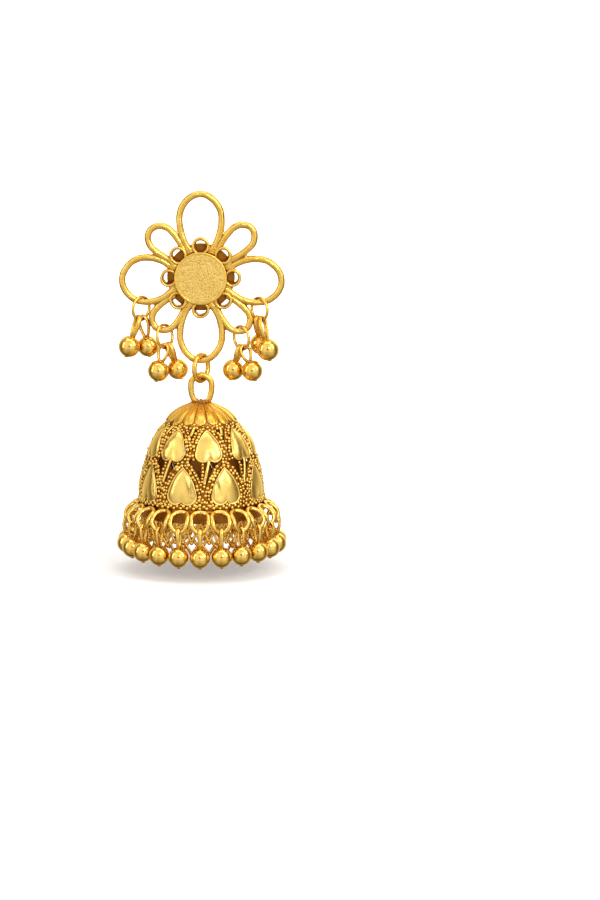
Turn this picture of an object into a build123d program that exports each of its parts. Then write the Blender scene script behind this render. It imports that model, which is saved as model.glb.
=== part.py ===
from build123d import *
import os
from math import asin, atan2, cos, degrees, radians, sin, sqrt

# A jhumka earring: a wire flower worn on the ear, a jump ring under it, and an openwork bell
# fringed with ball drops. Millimetres, +Z up, the front looks along -Y. The origin is on the
# back face of the post pad, on the post's axis, where the earring pins on the ear.

os.makedirs("parts", exist_ok=True)

# ---------------------------------------------------------------- driving dimensions
GAP = 0.03              # between pieces that are only held against each other
HANG_GAP = 0.045        # between a ring and the wire it hangs on

MID_Y = -1.4            # plane of the flower's wires, and axis of the bell
PETAL_WIRE = 0.475      # radius of the petal wire
HUB_R, HUB_BACK, HUB_FRONT = 5.6, 0.9, 1.9
TUBE_COUNT, TUBE_PITCH_R, TUBE_R, TUBE_BORE = 8, 5.05, 1.31, 1.06
TUBE_BACK, TUBE_FRONT = 0.63, 2.33

DISC_R, DISC_BACK, DISC_FRONT, DISC_RIM, DISC_RIM_UP = 4.18, 2.36, 3.0, 0.3, 0.14

PAD_R, PAD_THICK, POST_R, POST_LEN = 5.05, 0.6, 0.45, 11.0

DROP_RING_R, DROP_RING_WIRE, DROP_RING_TURN = 2.09, 0.4, 60.0

EYE_WIRE, EYE_HALF, EYE_FOOT_HALF = 0.48, 1.655, 1.0
COLLAR_R, COLLAR_TOP, CAP_TOP, CAP_WALL = 1.35, -19.8, -20.2, 0.7
FLUTES, FLUTE_R = 16, 0.42

WALL = 0.55             # dome wall
HEART_UP = 0.16         # how far a heart stands proud of the dome
HEARTS_A_ROW = 9

BAND_TOP, BAND_FOOT, BAND_R, BAND_WALL = -35.23, -36.2, 10.12, 0.6
SKIRT_R, SKIRT_FOOT = 9.86, -40.2            # the band's inner skirt, behind the loops
LOOPS, LOOP_TOP_R, LOOP_TOP_Z, LOOP_FOOT_R, LOOP_FOOT_Z = 22, 10.2, -36.0, 12.05, -39.0
LOOP_HALF, LOOP_WIRE = 1.27, 0.27

FRINGE_BALL, FRINGE_EYE_H, FRINGE_EYE_W, FRINGE_WIRE = 1.55, 3.35, 1.6, 0.21
CLUSTER_RING_R, CLUSTER_RING_WIRE = 1.85, 0.25
CLUSTER_EYE_W, CLUSTER_WIRE = 2.1, 0.28
NUB_R, NUB_H = 0.36, 0.26

# The eight petals. angle: direction of the petal's axis from +X; tip: centre of the wire at the
# tip; widest and half: how far out the petal is widest, and half its width there; round: radius
# of the tip; foot and foot_half: where each end of the wire lands on the hub.
PETALS = [
    dict(name="n", angle=90.0, tip=13.48, widest=9.36, half=3.35, round=2.70, foot=5.0, foot_half=2.2),
    dict(name="s", angle=270.0, tip=13.30, widest=9.20, half=3.35, round=2.70, foot=5.0, foot_half=2.2),
    dict(name="w", angle=182.3, tip=12.50, widest=8.70, half=3.57, round=2.85, foot=5.0, foot_half=2.2),
    dict(name="e", angle=-3.25, tip=12.85, widest=9.00, half=3.50, round=2.80, foot=5.0, foot_half=2.2),
    dict(name="nw", angle=135.5, tip=11.00, widest=8.90, half=1.85, round=1.45, foot=5.2, foot_half=1.3),
    dict(name="ne", angle=44.5, tip=11.30, widest=9.15, half=1.85, round=1.45, foot=5.2, foot_half=1.3),
    dict(name="sw", angle=228.0, tip=10.75, widest=8.70, half=1.85, round=1.45, foot=5.2, foot_half=1.3),
    dict(name="se", angle=-48.5, tip=10.95, widest=8.85, half=1.85, round=1.45, foot=5.2, foot_half=1.3),
]

# The four small rings: the petal they hang on, where the wire's centre is at the contact, how
# far the ring is turned about the vertical and how far it leans sideways. Then its two drops:
# shift along the ring from its lowest point, lean to the side, lean to the front, twist, the
# ball's radius and the height of its eye.
CLUSTERS = [
    dict(name="w", x=-9.45, z=-3.845, turn=48.0, lean=-3.0, drops=[
        dict(along=-0.62, side=-18.0, front=5.0, twist=-22.0, ball=1.60, eye=4.05),
        dict(along=0.58, side=9.0, front=-9.0, twist=20.0, ball=1.57, eye=4.15)]),
    dict(name="sw", x=-5.95, z=-8.335, turn=52.0, lean=9.0, drops=[
        dict(along=-0.60, side=-14.0, front=7.0, twist=26.0, ball=1.58, eye=3.35),
        dict(along=0.60, side=20.0, front=-8.0, twist=-16.0, ball=1.56, eye=3.6)]),
    dict(name="se", x=6.35, z=-8.564, turn=-50.0, lean=4.0, drops=[
        dict(along=-0.60, side=-17.0, front=-7.0, twist=24.0, ball=1.58, eye=3.25),
        dict(along=0.62, side=19.0, front=8.0, twist=-22.0, ball=1.56, eye=3.25)]),
    dict(name="e", x=9.30, z=-4.00, turn=-48.0, lean=1.0, drops=[
        dict(along=-0.62, side=7.0, front=-20.0, twist=25.0, ball=1.60, eye=3.9),
        dict(along=0.58, side=11.0, front=12.0, twist=14.0, ball=1.66, eye=4.2)]),
]

# Twist of each fringe drop about its own vertical, from square to the hem.
FRINGE_TWIST = [4, -11, 13, -6, 9, -14, 2, 12, -9, 6, -13, 10, -3, 14, -8, 5, -12, 11, -5, 8, -10, 3]

# Outside of the dome: radius and height, every second row the middle of an arc.
DOME = [
    dict(r=5.55, z=-22.95),
    dict(r=6.56, z=-24.0),
    dict(r=7.55, z=-25.4),
    dict(r=8.40, z=-27.3),
    dict(r=8.98, z=-28.9),
    dict(r=9.43, z=-30.6),
    dict(r=9.77, z=-32.4),
    dict(r=9.97, z=-34.2),
    dict(r=10.05, z=-35.2),
]

# Outside of the cap below the collar, and how far under it the inside is.
CAP = [
    dict(r=2.4, z=-20.52, under=0.55),
    dict(r=3.5, z=-21.05, under=0.50),
    dict(r=4.6, z=-21.85, under=0.35),
    dict(r=5.7, z=-22.92, under=0.0),
]

# The two rows of hearts: height of the middle on the dome, width, height along the dome, and
# the turn of the first heart from the front. Then the window between two hearts: how far above
# that height it is, its width and its height.
HEARTS = [
    dict(row="upper", z=-25.75, width=4.1, height=5.7, first=6.0, window_up=0.9, window_w=1.7, window_h=2.9),
    dict(row="lower", z=-32.25, width=4.45, height=5.9, first=-19.0, window_up=0.75, window_w=1.25, window_h=2.4),
]


# ---------------------------------------------------------------- helpers
def on_circle(centre, radius, angle):
    return (centre[0] + radius * cos(radians(angle)), centre[1] + radius * sin(radians(angle)))


def arc_points(centre, radius, start, end):
    return [on_circle(centre, radius, a) for a in (start, (start + end) / 2, end)]


def petal_arcs(p):
    """The five tangent arcs of one petal's wire, from foot to tip to foot, in petal axes."""
    h = p["tip"] - p["widest"]
    shoulder = (p["half"] ** 2 + h * h - 2 * h * p["round"]) / (2 * (p["half"] - p["round"]))
    c1 = (p["half"] - shoulder, p["widest"])
    c2 = (0, p["tip"] - p["round"])
    join = degrees(atan2(c2[1] - c1[1], c2[0] - c1[0]))
    rise, narrow = p["widest"] - p["foot"], p["half"] - p["foot_half"]
    side = (rise**2 + narrow**2) / (2 * narrow)
    c0 = (p["half"] - side, p["widest"])
    right = [
        arc_points(c0, side, -degrees(asin(rise / side)), 0),
        arc_points(c1, shoulder, 0, join),
    ]
    tip = [arc_points(c2, p["round"], join, 180 - join)]
    left = [[(-x, y) for x, y in reversed(arc)] for arc in reversed(right)]
    return right + tip + left


def petal_plane(angle):
    a = radians(angle)
    return Plane(origin=(0, MID_Y, 0), x_dir=(sin(a), 0, -cos(a)), z_dir=(0, -1, 0))


def outward(turn):
    """Unit vectors out from the bell's axis and along its hem, turn measured from the front."""
    a = radians(turn)
    return Vector(sin(a), -cos(a), 0), Vector(cos(a), sin(a), 0)


def dome_at(z):
    """Radius and slope (change of radius a unit of height) of the dome's outside."""
    rows = DOME
    for a, b in zip(rows, rows[1:]):
        if b["z"] <= z <= a["z"]:
            t = (z - a["z"]) / (b["z"] - a["z"])
            return a["r"] + t * (b["r"] - a["r"]), (b["r"] - a["r"]) / (b["z"] - a["z"])
    raise ValueError(z)


def dome_plane(z, turn, lift=0.0):
    """A plane lying on the dome, x along the hem, y up the dome."""
    r, slope = dome_at(z)
    out, along = outward(turn)
    normal = (out - Vector(0, 0, slope)).normalized()
    return Plane(origin=Vector(0, MID_Y, z) + out * r + normal * lift, x_dir=along, z_dir=normal)


def dome_face(lift_out, lift_in):
    """The dome's wall as a closed profile, from lift_out beyond the outside to lift_in inside it."""
    def moved(row, lift):
        _, slope = dome_at(row["z"])
        n = sqrt(1 + slope * slope)
        return (row["r"] + lift / n, row["z"] if row in (DOME[0], DOME[-1]) else row["z"] - lift * slope / n)

    outer = [moved(row, lift_out) for row in DOME]
    inner = [moved(row, -lift_in) for row in DOME]
    for k in range(0, len(outer) - 2, 2):
        ThreePointArc(*outer[k : k + 3])
    Line(outer[-1], inner[-1])
    for k in range(len(inner) - 1, 1, -2):
        ThreePointArc(inner[k], inner[k - 1], inner[k - 2])
    Line(inner[0], outer[0])


def ball_drop(bears_on, up, across, eye_h, eye_w, wire, ball_r):
    """One ball drop: ball with a nub, and the wire eye it hangs by. bears_on is the inside top of
    the eye, up points from the ball to the eye, across lies in the plane of the eye."""
    face = Plane(origin=bears_on, x_dir=across, z_dir=across.cross(up))
    half = eye_w / 2 - wire
    top, foot = wire, wire - (eye_h - 2 * wire)
    centre = 2 * wire - eye_h - ball_r + 0.3
    with BuildPart() as drop:
        with BuildLine(face) as eye:
            Line((-half, foot + half), (-half, top - half))
            ThreePointArc((-half, top - half), (0, top), (half, top - half))
            Line((half, top - half), (half, foot + half))
            ThreePointArc((half, foot + half), (0, foot), (-half, foot + half))
        with BuildSketch(Plane(origin=eye.wire() @ 0, z_dir=eye.wire() % 0)):
            Circle(wire)
        sweep(path=eye.wire())
        with BuildSketch(face):
            with BuildLine():
                shoulder = centre - sqrt(ball_r**2 - NUB_R**2)
                end = centre - ball_r - NUB_H
                ThreePointArc((0, centre + ball_r), (ball_r, centre), (NUB_R, shoulder))
                Line((NUB_R, shoulder), (NUB_R * 0.75, end + 0.08))
                Line((NUB_R * 0.75, end + 0.08), (NUB_R * 0.45, end))
                Line((NUB_R * 0.45, end), (0, end))
                Line((0, end), (0, centre + ball_r))
            make_face()
        revolve(axis=Axis(bears_on, up))
    return drop


# ---------------------------------------------------------------- flower
with BuildPart() as rosette:
    for petal in PETALS:
        with BuildLine(petal_plane(petal["angle"])) as wire_path:
            for points in petal_arcs(petal):
                ThreePointArc(*points)
        with BuildSketch(Plane(origin=wire_path.wire() @ 0, z_dir=wire_path.wire() % 0)):
            Circle(PETAL_WIRE)
        sweep(path=wire_path.wire())
    with BuildSketch(Plane.XZ.offset(HUB_BACK)):
        Circle(HUB_R)
    extrude(amount=HUB_FRONT - HUB_BACK)
    with BuildSketch(Plane.XZ.offset(TUBE_BACK)):
        with PolarLocations(TUBE_PITCH_R, TUBE_COUNT):
            Circle(TUBE_R)
    extrude(amount=TUBE_FRONT - TUBE_BACK)
    with BuildSketch(Plane.XZ.offset(TUBE_BACK - 0.5)):
        with PolarLocations(TUBE_PITCH_R, TUBE_COUNT):
            Circle(TUBE_BORE)
    extrude(amount=TUBE_FRONT - TUBE_BACK + 1, mode=Mode.SUBTRACT)
rosette.part.label = "rosette"
export_step(rosette.part, "parts/rosette.step")

with BuildPart() as centre_disc:
    with BuildSketch(Plane.XZ.offset(DISC_BACK)):
        Circle(DISC_R)
    extrude(amount=DISC_FRONT - DISC_BACK)
    with BuildSketch(Plane.XZ.offset(DISC_FRONT)):
        Circle(DISC_R)
        Circle(DISC_R - DISC_RIM, mode=Mode.SUBTRACT)
    extrude(amount=DISC_RIM_UP)
    rim_edges = centre_disc.edges().filter_by(GeomType.CIRCLE).group_by(Axis.Y)[0]
    fillet(rim_edges, radius=0.06)
centre_disc.part.label = "centre_disc"
export_step(centre_disc.part, "parts/centre_disc.step")

with BuildPart() as ear_post:
    with BuildSketch(Plane.XZ):
        Circle(PAD_R)
    extrude(amount=PAD_THICK)
    with BuildSketch(Plane.XZ):
        Circle(POST_R)
    extrude(amount=-POST_LEN)
    post_end = ear_post.edges().filter_by(GeomType.CIRCLE).group_by(Axis.Y)[-1]
    fillet(post_end, radius=0.3)
ear_post.part.label = "ear_post"
export_step(ear_post.part, "parts/ear_post.step")

# ---------------------------------------------------------------- main drop: ring
south = PETALS[1]
PETAL_FOOT_Z = -south["tip"]
RING_TOP_IN_Z = PETAL_FOOT_Z + PETAL_WIRE + HANG_GAP
RING_Z = RING_TOP_IN_Z - (DROP_RING_R - DROP_RING_WIRE)
turn = radians(DROP_RING_TURN)
ring_plane = Plane(origin=(0, MID_Y, RING_Z), x_dir=(cos(turn), sin(turn), 0), z_dir=(sin(turn), -cos(turn), 0))
with BuildPart(ring_plane) as drop_ring:
    Torus(DROP_RING_R, DROP_RING_WIRE)
drop_ring.part.label = "drop_ring"
export_step(drop_ring.part, "parts/drop_ring.step")

# ---------------------------------------------------------------- bell
EYE_TOP_Z = RING_Z - (DROP_RING_R - DROP_RING_WIRE) + HANG_GAP + EYE_WIRE
EYE_MID_Z = EYE_TOP_Z - EYE_HALF
bell_front = Plane.XZ.offset(-MID_Y)
bell_axis = Axis((0, MID_Y, 0), (0, 0, 1))

with BuildPart() as bell_cap:
    with BuildSketch(bell_front):
        with BuildLine():
            Line((0, COLLAR_TOP), (COLLAR_R - 0.15, COLLAR_TOP))
            Line((COLLAR_R - 0.15, COLLAR_TOP), (COLLAR_R, COLLAR_TOP - 0.15))
            Line((COLLAR_R, COLLAR_TOP - 0.15), (COLLAR_R, CAP_TOP))
            Polyline((COLLAR_R, CAP_TOP), *[(row["r"], row["z"]) for row in CAP])
            Line((CAP[-1]["r"], CAP[-1]["z"]), (CAP[-1]["r"] - CAP_WALL, CAP[-1]["z"]))
            Polyline(*[(row["r"] - CAP_WALL, row["z"] - row["under"]) for row in reversed(CAP)], (0, CAP[0]["z"] - CAP[0]["under"]))
            Line((0, CAP[0]["z"] - CAP[0]["under"]), (0, COLLAR_TOP))
        make_face()
    revolve(axis=bell_axis)
    for k in range(FLUTES):
        out, along = outward((k + 0.5) * 360 / FLUTES)
        start = Vector(0, MID_Y, CAP_TOP + 0.35) + out * (COLLAR_R + 0.75)
        end = Vector(0, MID_Y, CAP[-1]["z"] + 0.22) + out * (CAP[-1]["r"] + 0.55)
        with BuildSketch(Plane(origin=start, x_dir=along, z_dir=end - start)):
            Circle(FLUTE_R)
        extrude(amount=(end - start).length, mode=Mode.SUBTRACT)
    # The wire eye, a horseshoe that narrows down to the collar.
    fall, narrow = EYE_MID_Z - (CAP_TOP - 0.25), EYE_HALF - EYE_FOOT_HALF
    leg = (fall**2 + narrow**2) / (2 * narrow)
    right_leg = arc_points((EYE_HALF - leg, EYE_MID_Z), leg, -degrees(asin(fall / leg)), 0)
    with BuildLine(bell_front) as eye_path:
        ThreePointArc(*right_leg)
        ThreePointArc((EYE_HALF, EYE_MID_Z), (0, EYE_TOP_Z), (-EYE_HALF, EYE_MID_Z))
        ThreePointArc(*[(-x, z) for x, z in reversed(right_leg)])
    with BuildSketch(Plane(origin=eye_path.wire() @ 0, z_dir=eye_path.wire() % 0)):
        Circle(EYE_WIRE)
    sweep(path=eye_path.wire())
bell_cap.part.label = "bell_cap"
export_step(bell_cap.part, "parts/bell_cap.step")

# The layer that is sunk round the raised hearts, tips up.
with BuildPart() as ground:
    with BuildSketch(bell_front):
        with BuildLine():
            dome_face(HEART_UP + 0.5, 0)
        make_face()
    revolve(axis=bell_axis)
    for row in HEARTS:
        w, h = row["width"] / 2, row["height"] / 2
        for k in range(HEARTS_A_ROW):
            with BuildSketch(dome_plane(row["z"], row["first"] + k * 360 / HEARTS_A_ROW, lift=2.0)):
                with BuildLine():
                    ThreePointArc((0, h), (0.62 * w, 0.30 * h), (w, -0.36 * h))
                    ThreePointArc((w, -0.36 * h), (0.56 * w, -h), (0, -0.66 * h))
                    mirror(about=Plane.YZ)
                make_face()
            extrude(amount=-3.2, mode=Mode.SUBTRACT)

with BuildPart() as bell_dome:
    with BuildSketch(bell_front):
        with BuildLine():
            dome_face(HEART_UP, WALL)
        make_face()
    revolve(axis=bell_axis)
    add(ground.part, mode=Mode.SUBTRACT)
    # Windows between the tips of neighbouring hearts.
    for row in HEARTS:
        for k in range(HEARTS_A_ROW):
            turned = row["first"] + (k + 0.5) * 360 / HEARTS_A_ROW
            with BuildSketch(dome_plane(row["z"] + row["window_up"], turned, lift=0.9)):
                with BuildLine():
                    w, h = row["window_w"] / 2, row["window_h"] / 2
                    Polyline((0, -h), (w, 0.7 * h), (0, h), (-w, 0.7 * h), close=True)
                make_face()
            extrude(amount=-2.2, mode=Mode.SUBTRACT)
bell_dome.part.label = "bell_dome"
export_step(bell_dome.part, "parts/bell_dome.step")

with BuildPart() as rim_band:
    with BuildSketch(bell_front):
        with BuildLine():
            Line((BAND_R - BAND_WALL, BAND_TOP), (BAND_R, BAND_TOP))
            Line((BAND_R, BAND_TOP), (BAND_R, BAND_FOOT + 0.3))
            Line((BAND_R, BAND_FOOT + 0.3), (BAND_R + 0.16, BAND_FOOT + 0.16))
            Line((BAND_R + 0.16, BAND_FOOT + 0.16), (BAND_R, BAND_FOOT))
            Line((BAND_R, BAND_FOOT), (SKIRT_R, BAND_FOOT))
            Line((SKIRT_R, BAND_FOOT), (SKIRT_R, SKIRT_FOOT))
            Line((SKIRT_R, SKIRT_FOOT), (BAND_R - BAND_WALL, SKIRT_FOOT))
            Line((BAND_R - BAND_WALL, SKIRT_FOOT), (BAND_R - BAND_WALL, BAND_TOP))
        make_face()
    revolve(axis=bell_axis)
    drop_down, drop_out = LOOP_TOP_Z - LOOP_FOOT_Z, LOOP_FOOT_R - LOOP_TOP_R
    length = sqrt(drop_down**2 + drop_out**2)
    straight = length / 2 - LOOP_HALF
    for k in range(LOOPS):
        out, along = outward(k * 360 / LOOPS)
        up_loop = (Vector(0, 0, 1) * drop_down - out * drop_out) * (1 / length)
        middle = Vector(0, MID_Y, (LOOP_TOP_Z + LOOP_FOOT_Z) / 2) + out * ((LOOP_TOP_R + LOOP_FOOT_R) / 2)
        with BuildLine(Plane(origin=middle, x_dir=along, z_dir=along.cross(up_loop))) as loop:
            Line((-LOOP_HALF, -straight), (-LOOP_HALF, straight))
            ThreePointArc((-LOOP_HALF, straight), (0, straight + LOOP_HALF), (LOOP_HALF, straight))
            Line((LOOP_HALF, straight), (LOOP_HALF, -straight))
            ThreePointArc((LOOP_HALF, -straight), (0, -straight - LOOP_HALF), (-LOOP_HALF, -straight))
        with BuildSketch(Plane(origin=loop.wire() @ 0, z_dir=loop.wire() % 0)):
            Circle(LOOP_WIRE)
        sweep(path=loop.wire())
rim_band.part.label = "rim_band"
export_step(rim_band.part, "parts/rim_band.step")

# ---------------------------------------------------------------- fringe
for k in range(LOOPS):
    out, along = outward(k * 360 / LOOPS)
    bears_on = Vector(0, MID_Y, LOOP_FOOT_Z + LOOP_WIRE + HANG_GAP) + out * LOOP_FOOT_R
    t = radians(FRINGE_TWIST[k])
    across = out * cos(t) + along * sin(t)
    fringe_drop = ball_drop(bears_on, Vector(0, 0, 1), across, FRINGE_EYE_H, FRINGE_EYE_W, FRINGE_WIRE, FRINGE_BALL)
    name = f"fringe_drop_{k + 1:02d}"
    fringe_drop.part.label = name
    export_step(fringe_drop.part, f"parts/{name}.step")

# ---------------------------------------------------------------- clusters on the lower petals
for c in CLUSTERS:
    lean, ring_turn = radians(c["lean"]), radians(c["turn"])
    down = Vector(sin(lean), 0, -cos(lean))
    cross = Vector(cos(lean), 0, sin(lean)) * cos(ring_turn) + Vector(0, 1, 0) * sin(ring_turn)
    inner = CLUSTER_RING_R - CLUSTER_RING_WIRE
    middle = Vector(c["x"], MID_Y, c["z"]) + down * (inner - PETAL_WIRE - HANG_GAP)
    with BuildPart(Plane(origin=middle, x_dir=cross, z_dir=cross.cross(down))) as cluster_ring:
        Torus(CLUSTER_RING_R, CLUSTER_RING_WIRE)
    name = f"cluster_ring_{c['name']}"
    cluster_ring.part.label = name
    export_step(cluster_ring.part, f"parts/{name}.step")

    for n, d in enumerate(c["drops"], 1):
        a = d["along"] / CLUSTER_RING_R
        wire_at = middle + (down * cos(a) + cross * sin(a)) * CLUSTER_RING_R
        side, front, twist = radians(d["side"]), radians(d["front"]), radians(d["twist"])
        fall = Vector(sin(side), -sin(front), -cos(side) * cos(front)).normalized()
        ring_dir = (cross * cos(a) - down * sin(a)).normalized()
        normal = (ring_dir - fall * ring_dir.dot(fall)).normalized()
        across = fall.cross(normal).normalized()
        across = across * cos(twist) + normal * sin(twist)
        bears_on = wire_at - fall * (CLUSTER_RING_WIRE + HANG_GAP)
        cluster_drop = ball_drop(bears_on, fall * -1, across, d["eye"], CLUSTER_EYE_W, CLUSTER_WIRE, d["ball"])
        name = f"cluster_drop_{c['name']}{n}"
        cluster_drop.part.label = name
        export_step(cluster_drop.part, f"parts/{name}.step")
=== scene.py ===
import random
from math import asin, atan2, cos, degrees, pi, radians, sin, sqrt

import bmesh
import bpy
import numpy as np
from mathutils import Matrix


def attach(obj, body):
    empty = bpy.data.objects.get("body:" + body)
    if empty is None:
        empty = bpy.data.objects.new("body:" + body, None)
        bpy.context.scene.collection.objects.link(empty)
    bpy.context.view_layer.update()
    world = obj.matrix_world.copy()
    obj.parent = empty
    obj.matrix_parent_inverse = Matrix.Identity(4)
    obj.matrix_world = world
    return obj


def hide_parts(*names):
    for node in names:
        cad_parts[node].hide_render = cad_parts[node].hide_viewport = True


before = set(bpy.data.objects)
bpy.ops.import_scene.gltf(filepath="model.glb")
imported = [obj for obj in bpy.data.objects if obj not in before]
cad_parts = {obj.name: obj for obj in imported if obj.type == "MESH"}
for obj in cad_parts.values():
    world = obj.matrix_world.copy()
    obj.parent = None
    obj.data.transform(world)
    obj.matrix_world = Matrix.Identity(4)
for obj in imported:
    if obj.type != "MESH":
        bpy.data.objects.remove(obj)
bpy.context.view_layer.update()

rng = np.random.default_rng(7)
random.seed(7)
MM = 0.001

# ------------------------------------------------------------------ sizes, in millimetres, as in the CAD model
MID_Y = -1.4
PETAL_WIRE = 0.475
HANG_GAP = 0.045
RING_C = np.array([0.0, MID_Y, -14.47])
RING_R, RING_WIRE, RING_TURN = 2.09, 0.4, 60.0
EYE_WIRE, EYE_HALF = 0.48, 1.655
LOOPS = 22
LOOP_TOP_R, LOOP_TOP_Z, LOOP_FOOT_R, LOOP_FOOT_Z, LOOP_HALF, LOOP_WIRE = 10.2, -36.0, 12.05, -39.0, 1.27, 0.27
FRINGE_BALL, FRINGE_EYE_H, FRINGE_EYE_W, FRINGE_WIRE = 1.55, 3.35, 1.6, 0.21
FRINGE_TWIST = [4, -11, 13, -6, 9, -14, 2, 12, -9, 6, -13, 10, -3, 14, -8, 5, -12, 11, -5, 8, -10, 3]
CLUSTER_RING_R, CLUSTER_RING_WIRE, CLUSTER_EYE_W, CLUSTER_WIRE = 1.85, 0.25, 2.1, 0.28

PETALS = [
    dict(angle=90.0, tip=13.30, widest=9.36, half=3.35, round=2.70, foot=5.0, foot_half=2.2),
    dict(angle=270.0, tip=13.30, widest=9.20, half=3.35, round=2.70, foot=5.0, foot_half=2.2),
    dict(angle=182.3, tip=12.50, widest=8.70, half=3.57, round=2.85, foot=5.0, foot_half=2.2),
    dict(angle=-3.25, tip=12.85, widest=9.00, half=3.50, round=2.80, foot=5.0, foot_half=2.2),
    dict(angle=135.5, tip=11.00, widest=8.80, half=2.02, round=1.60, foot=5.2, foot_half=1.3),
    dict(angle=44.5, tip=11.30, widest=9.00, half=2.02, round=1.60, foot=5.2, foot_half=1.3),
    dict(angle=228.0, tip=10.75, widest=8.60, half=1.95, round=1.48, foot=5.2, foot_half=1.3),
    dict(angle=-48.5, tip=10.95, widest=8.75, half=1.95, round=1.48, foot=5.2, foot_half=1.3),
]
CLUSTERS = [
    dict(name="w", x=-9.45, z=-3.845, turn=48.0, lean=-3.0, drops=[
        dict(along=-0.62, side=-18.0, front=5.0, twist=-22.0, ball=1.60, eye=4.05),
        dict(along=0.58, side=9.0, front=-9.0, twist=20.0, ball=1.57, eye=4.15)]),
    dict(name="sw", x=-5.95, z=-8.335, turn=52.0, lean=9.0, drops=[
        dict(along=-0.60, side=-14.0, front=7.0, twist=26.0, ball=1.58, eye=3.35),
        dict(along=0.60, side=20.0, front=-8.0, twist=-16.0, ball=1.56, eye=3.6)]),
    dict(name="se", x=6.35, z=-8.564, turn=-50.0, lean=4.0, drops=[
        dict(along=-0.60, side=-17.0, front=-7.0, twist=24.0, ball=1.58, eye=3.25),
        dict(along=0.62, side=19.0, front=8.0, twist=-22.0, ball=1.56, eye=3.25)]),
    dict(name="e", x=9.30, z=-4.00, turn=-48.0, lean=1.0, drops=[
        dict(along=-0.62, side=7.0, front=-20.0, twist=25.0, ball=1.60, eye=3.9),
        dict(along=0.58, side=11.0, front=12.0, twist=14.0, ball=1.66, eye=4.2)]),
]
# outer profile of the bell's wall, from under the cap to the hem: radius, height
WALL = [(1.30, -19.95), (2.40, -20.52), (3.50, -21.05), (4.60, -21.85), (5.55, -22.95), (6.56, -24.0), (7.55, -25.4),
        (8.40, -27.3), (8.98, -28.9), (9.43, -30.6), (9.77, -32.4), (9.97, -34.2), (10.05, -35.2), (10.12, -36.2)]
UPPER_HEARTS = [-70.0, -32.5, 9.5, 52.5, 90.5, 130.5, 170.5, 210.5, 250.5]
LOWER_HEARTS = [-59.0, -17.5, 25.0, 68.0, 107.0, 146.0, 184.5, 223.0, 262.0]
UPPER_Z, LOWER_Z = -25.75, -32.05
UPPER_SIZE, LOWER_SIZE = (4.15, 5.7), (4.85, 6.2)


# ------------------------------------------------------------------ vectors and curves
def V(*a):
    return np.array(a, float)


def unit(a):
    return a / np.linalg.norm(a, axis=-1, keepdims=True)


def smooth_line(points, n):
    """A Catmull-Rom line through the points, with n points spread evenly along it."""
    p = np.asarray(points, float)
    p = np.vstack([2 * p[0] - p[1], p, 2 * p[-1] - p[-2]])
    out = []
    for i in range(1, len(p) - 2):
        t = np.linspace(0, 1, 24, endpoint=False)[:, None]
        a, b, c, d = p[i - 1], p[i], p[i + 1], p[i + 2]
        out.append(0.5 * (2 * b + (c - a) * t + (2 * a - 5 * b + 4 * c - d) * t**2 + (3 * b - a - 3 * c + d) * t**3))
    out = np.vstack(out + [p[-2][None]])
    return resample(out, n)


def resample(p, n, closed=False):
    if closed:
        p = np.vstack([p, p[:1]])
    d = np.concatenate([[0], np.cumsum(np.linalg.norm(np.diff(p, axis=0), axis=1))])
    s = np.linspace(0, d[-1], n + 1 if closed else n)
    out = np.stack([np.interp(s, d, p[:, k]) for k in range(p.shape[1])], 1)
    return out[:-1] if closed else out


def arc(c, r, a0, a1, n=24):
    a = np.radians(np.linspace(a0, a1, n))
    return np.stack([c[0] + r * np.cos(a), c[1] + r * np.sin(a)], 1)


def wobble(n, size, waves, seed, closed=True):
    """A gentle seeded unevenness along a line of n points."""
    g = np.random.default_rng(seed)
    t = np.linspace(0, 2 * pi if closed else pi * 1.7, n, endpoint=not closed)
    out = np.zeros(n)
    for k in waves:
        out += g.normal() * np.sin(k * t + g.uniform(0, 2 * pi)) / sqrt(len(waves))
    return out * size


# ------------------------------------------------------------------ mesh building
class Bag:
    """Gathers vertices and faces, in millimetres, and makes one object of them."""

    def __init__(self):
        self.v, self.c, self.f, self.m, self.n = [], [], [], [], 0

    def add(self, verts, faces, cav=0.0, mat=0):
        verts = np.asarray(verts, float).reshape(-1, 3)
        self.v.append(verts)
        self.c.append(np.broadcast_to(np.asarray(cav, float), (len(verts),)))
        for f in faces:
            f = np.asarray(f, int)
            if len(f):
                self.f.append(f + self.n)
                self.m.append(np.full(len(f), mat))
        self.n += len(verts)

    def mesh(self, name, mats, scale=MM, turn=True):
        co = np.concatenate(self.v) * scale
        loops = np.concatenate([f.ravel() for f in self.f])
        sizes = np.concatenate([np.full(len(f), f.shape[1]) for f in self.f])
        me = bpy.data.meshes.new(name)
        me.vertices.add(len(co))
        me.vertices.foreach_set("co", co.ravel())
        me.loops.add(len(loops))
        me.loops.foreach_set("vertex_index", loops.astype(np.int32))
        me.polygons.add(len(sizes))
        me.polygons.foreach_set("loop_start", np.concatenate([[0], np.cumsum(sizes)[:-1]]).astype(np.int32))
        me.polygons.foreach_set("material_index", np.concatenate(self.m).astype(np.int32))
        me.polygons.foreach_set("use_smooth", np.ones(len(sizes), bool))
        me.update(calc_edges=True)
        # a per-point amount of painted shade, which darkens the gold in recesses and where parts meet
        at = me.attributes.new("cav", "FLOAT", "POINT")
        at.data.foreach_set("value", np.concatenate(self.c).astype(np.float32))
        if turn:
            bm = bmesh.new()
            bm.from_mesh(me)
            bmesh.ops.recalc_face_normals(bm, faces=bm.faces)
            bm.to_mesh(me)
            bm.free()
        for m in mats:
            me.materials.append(m)
        return me

    def piece(self, name, mats, body, slot, stands_for=(), sharp=None):
        me = self.mesh(name, mats)
        if sharp:
            me.set_sharp_from_angle(angle=radians(sharp))
        return place(name, me, body, stands_for)


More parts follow.
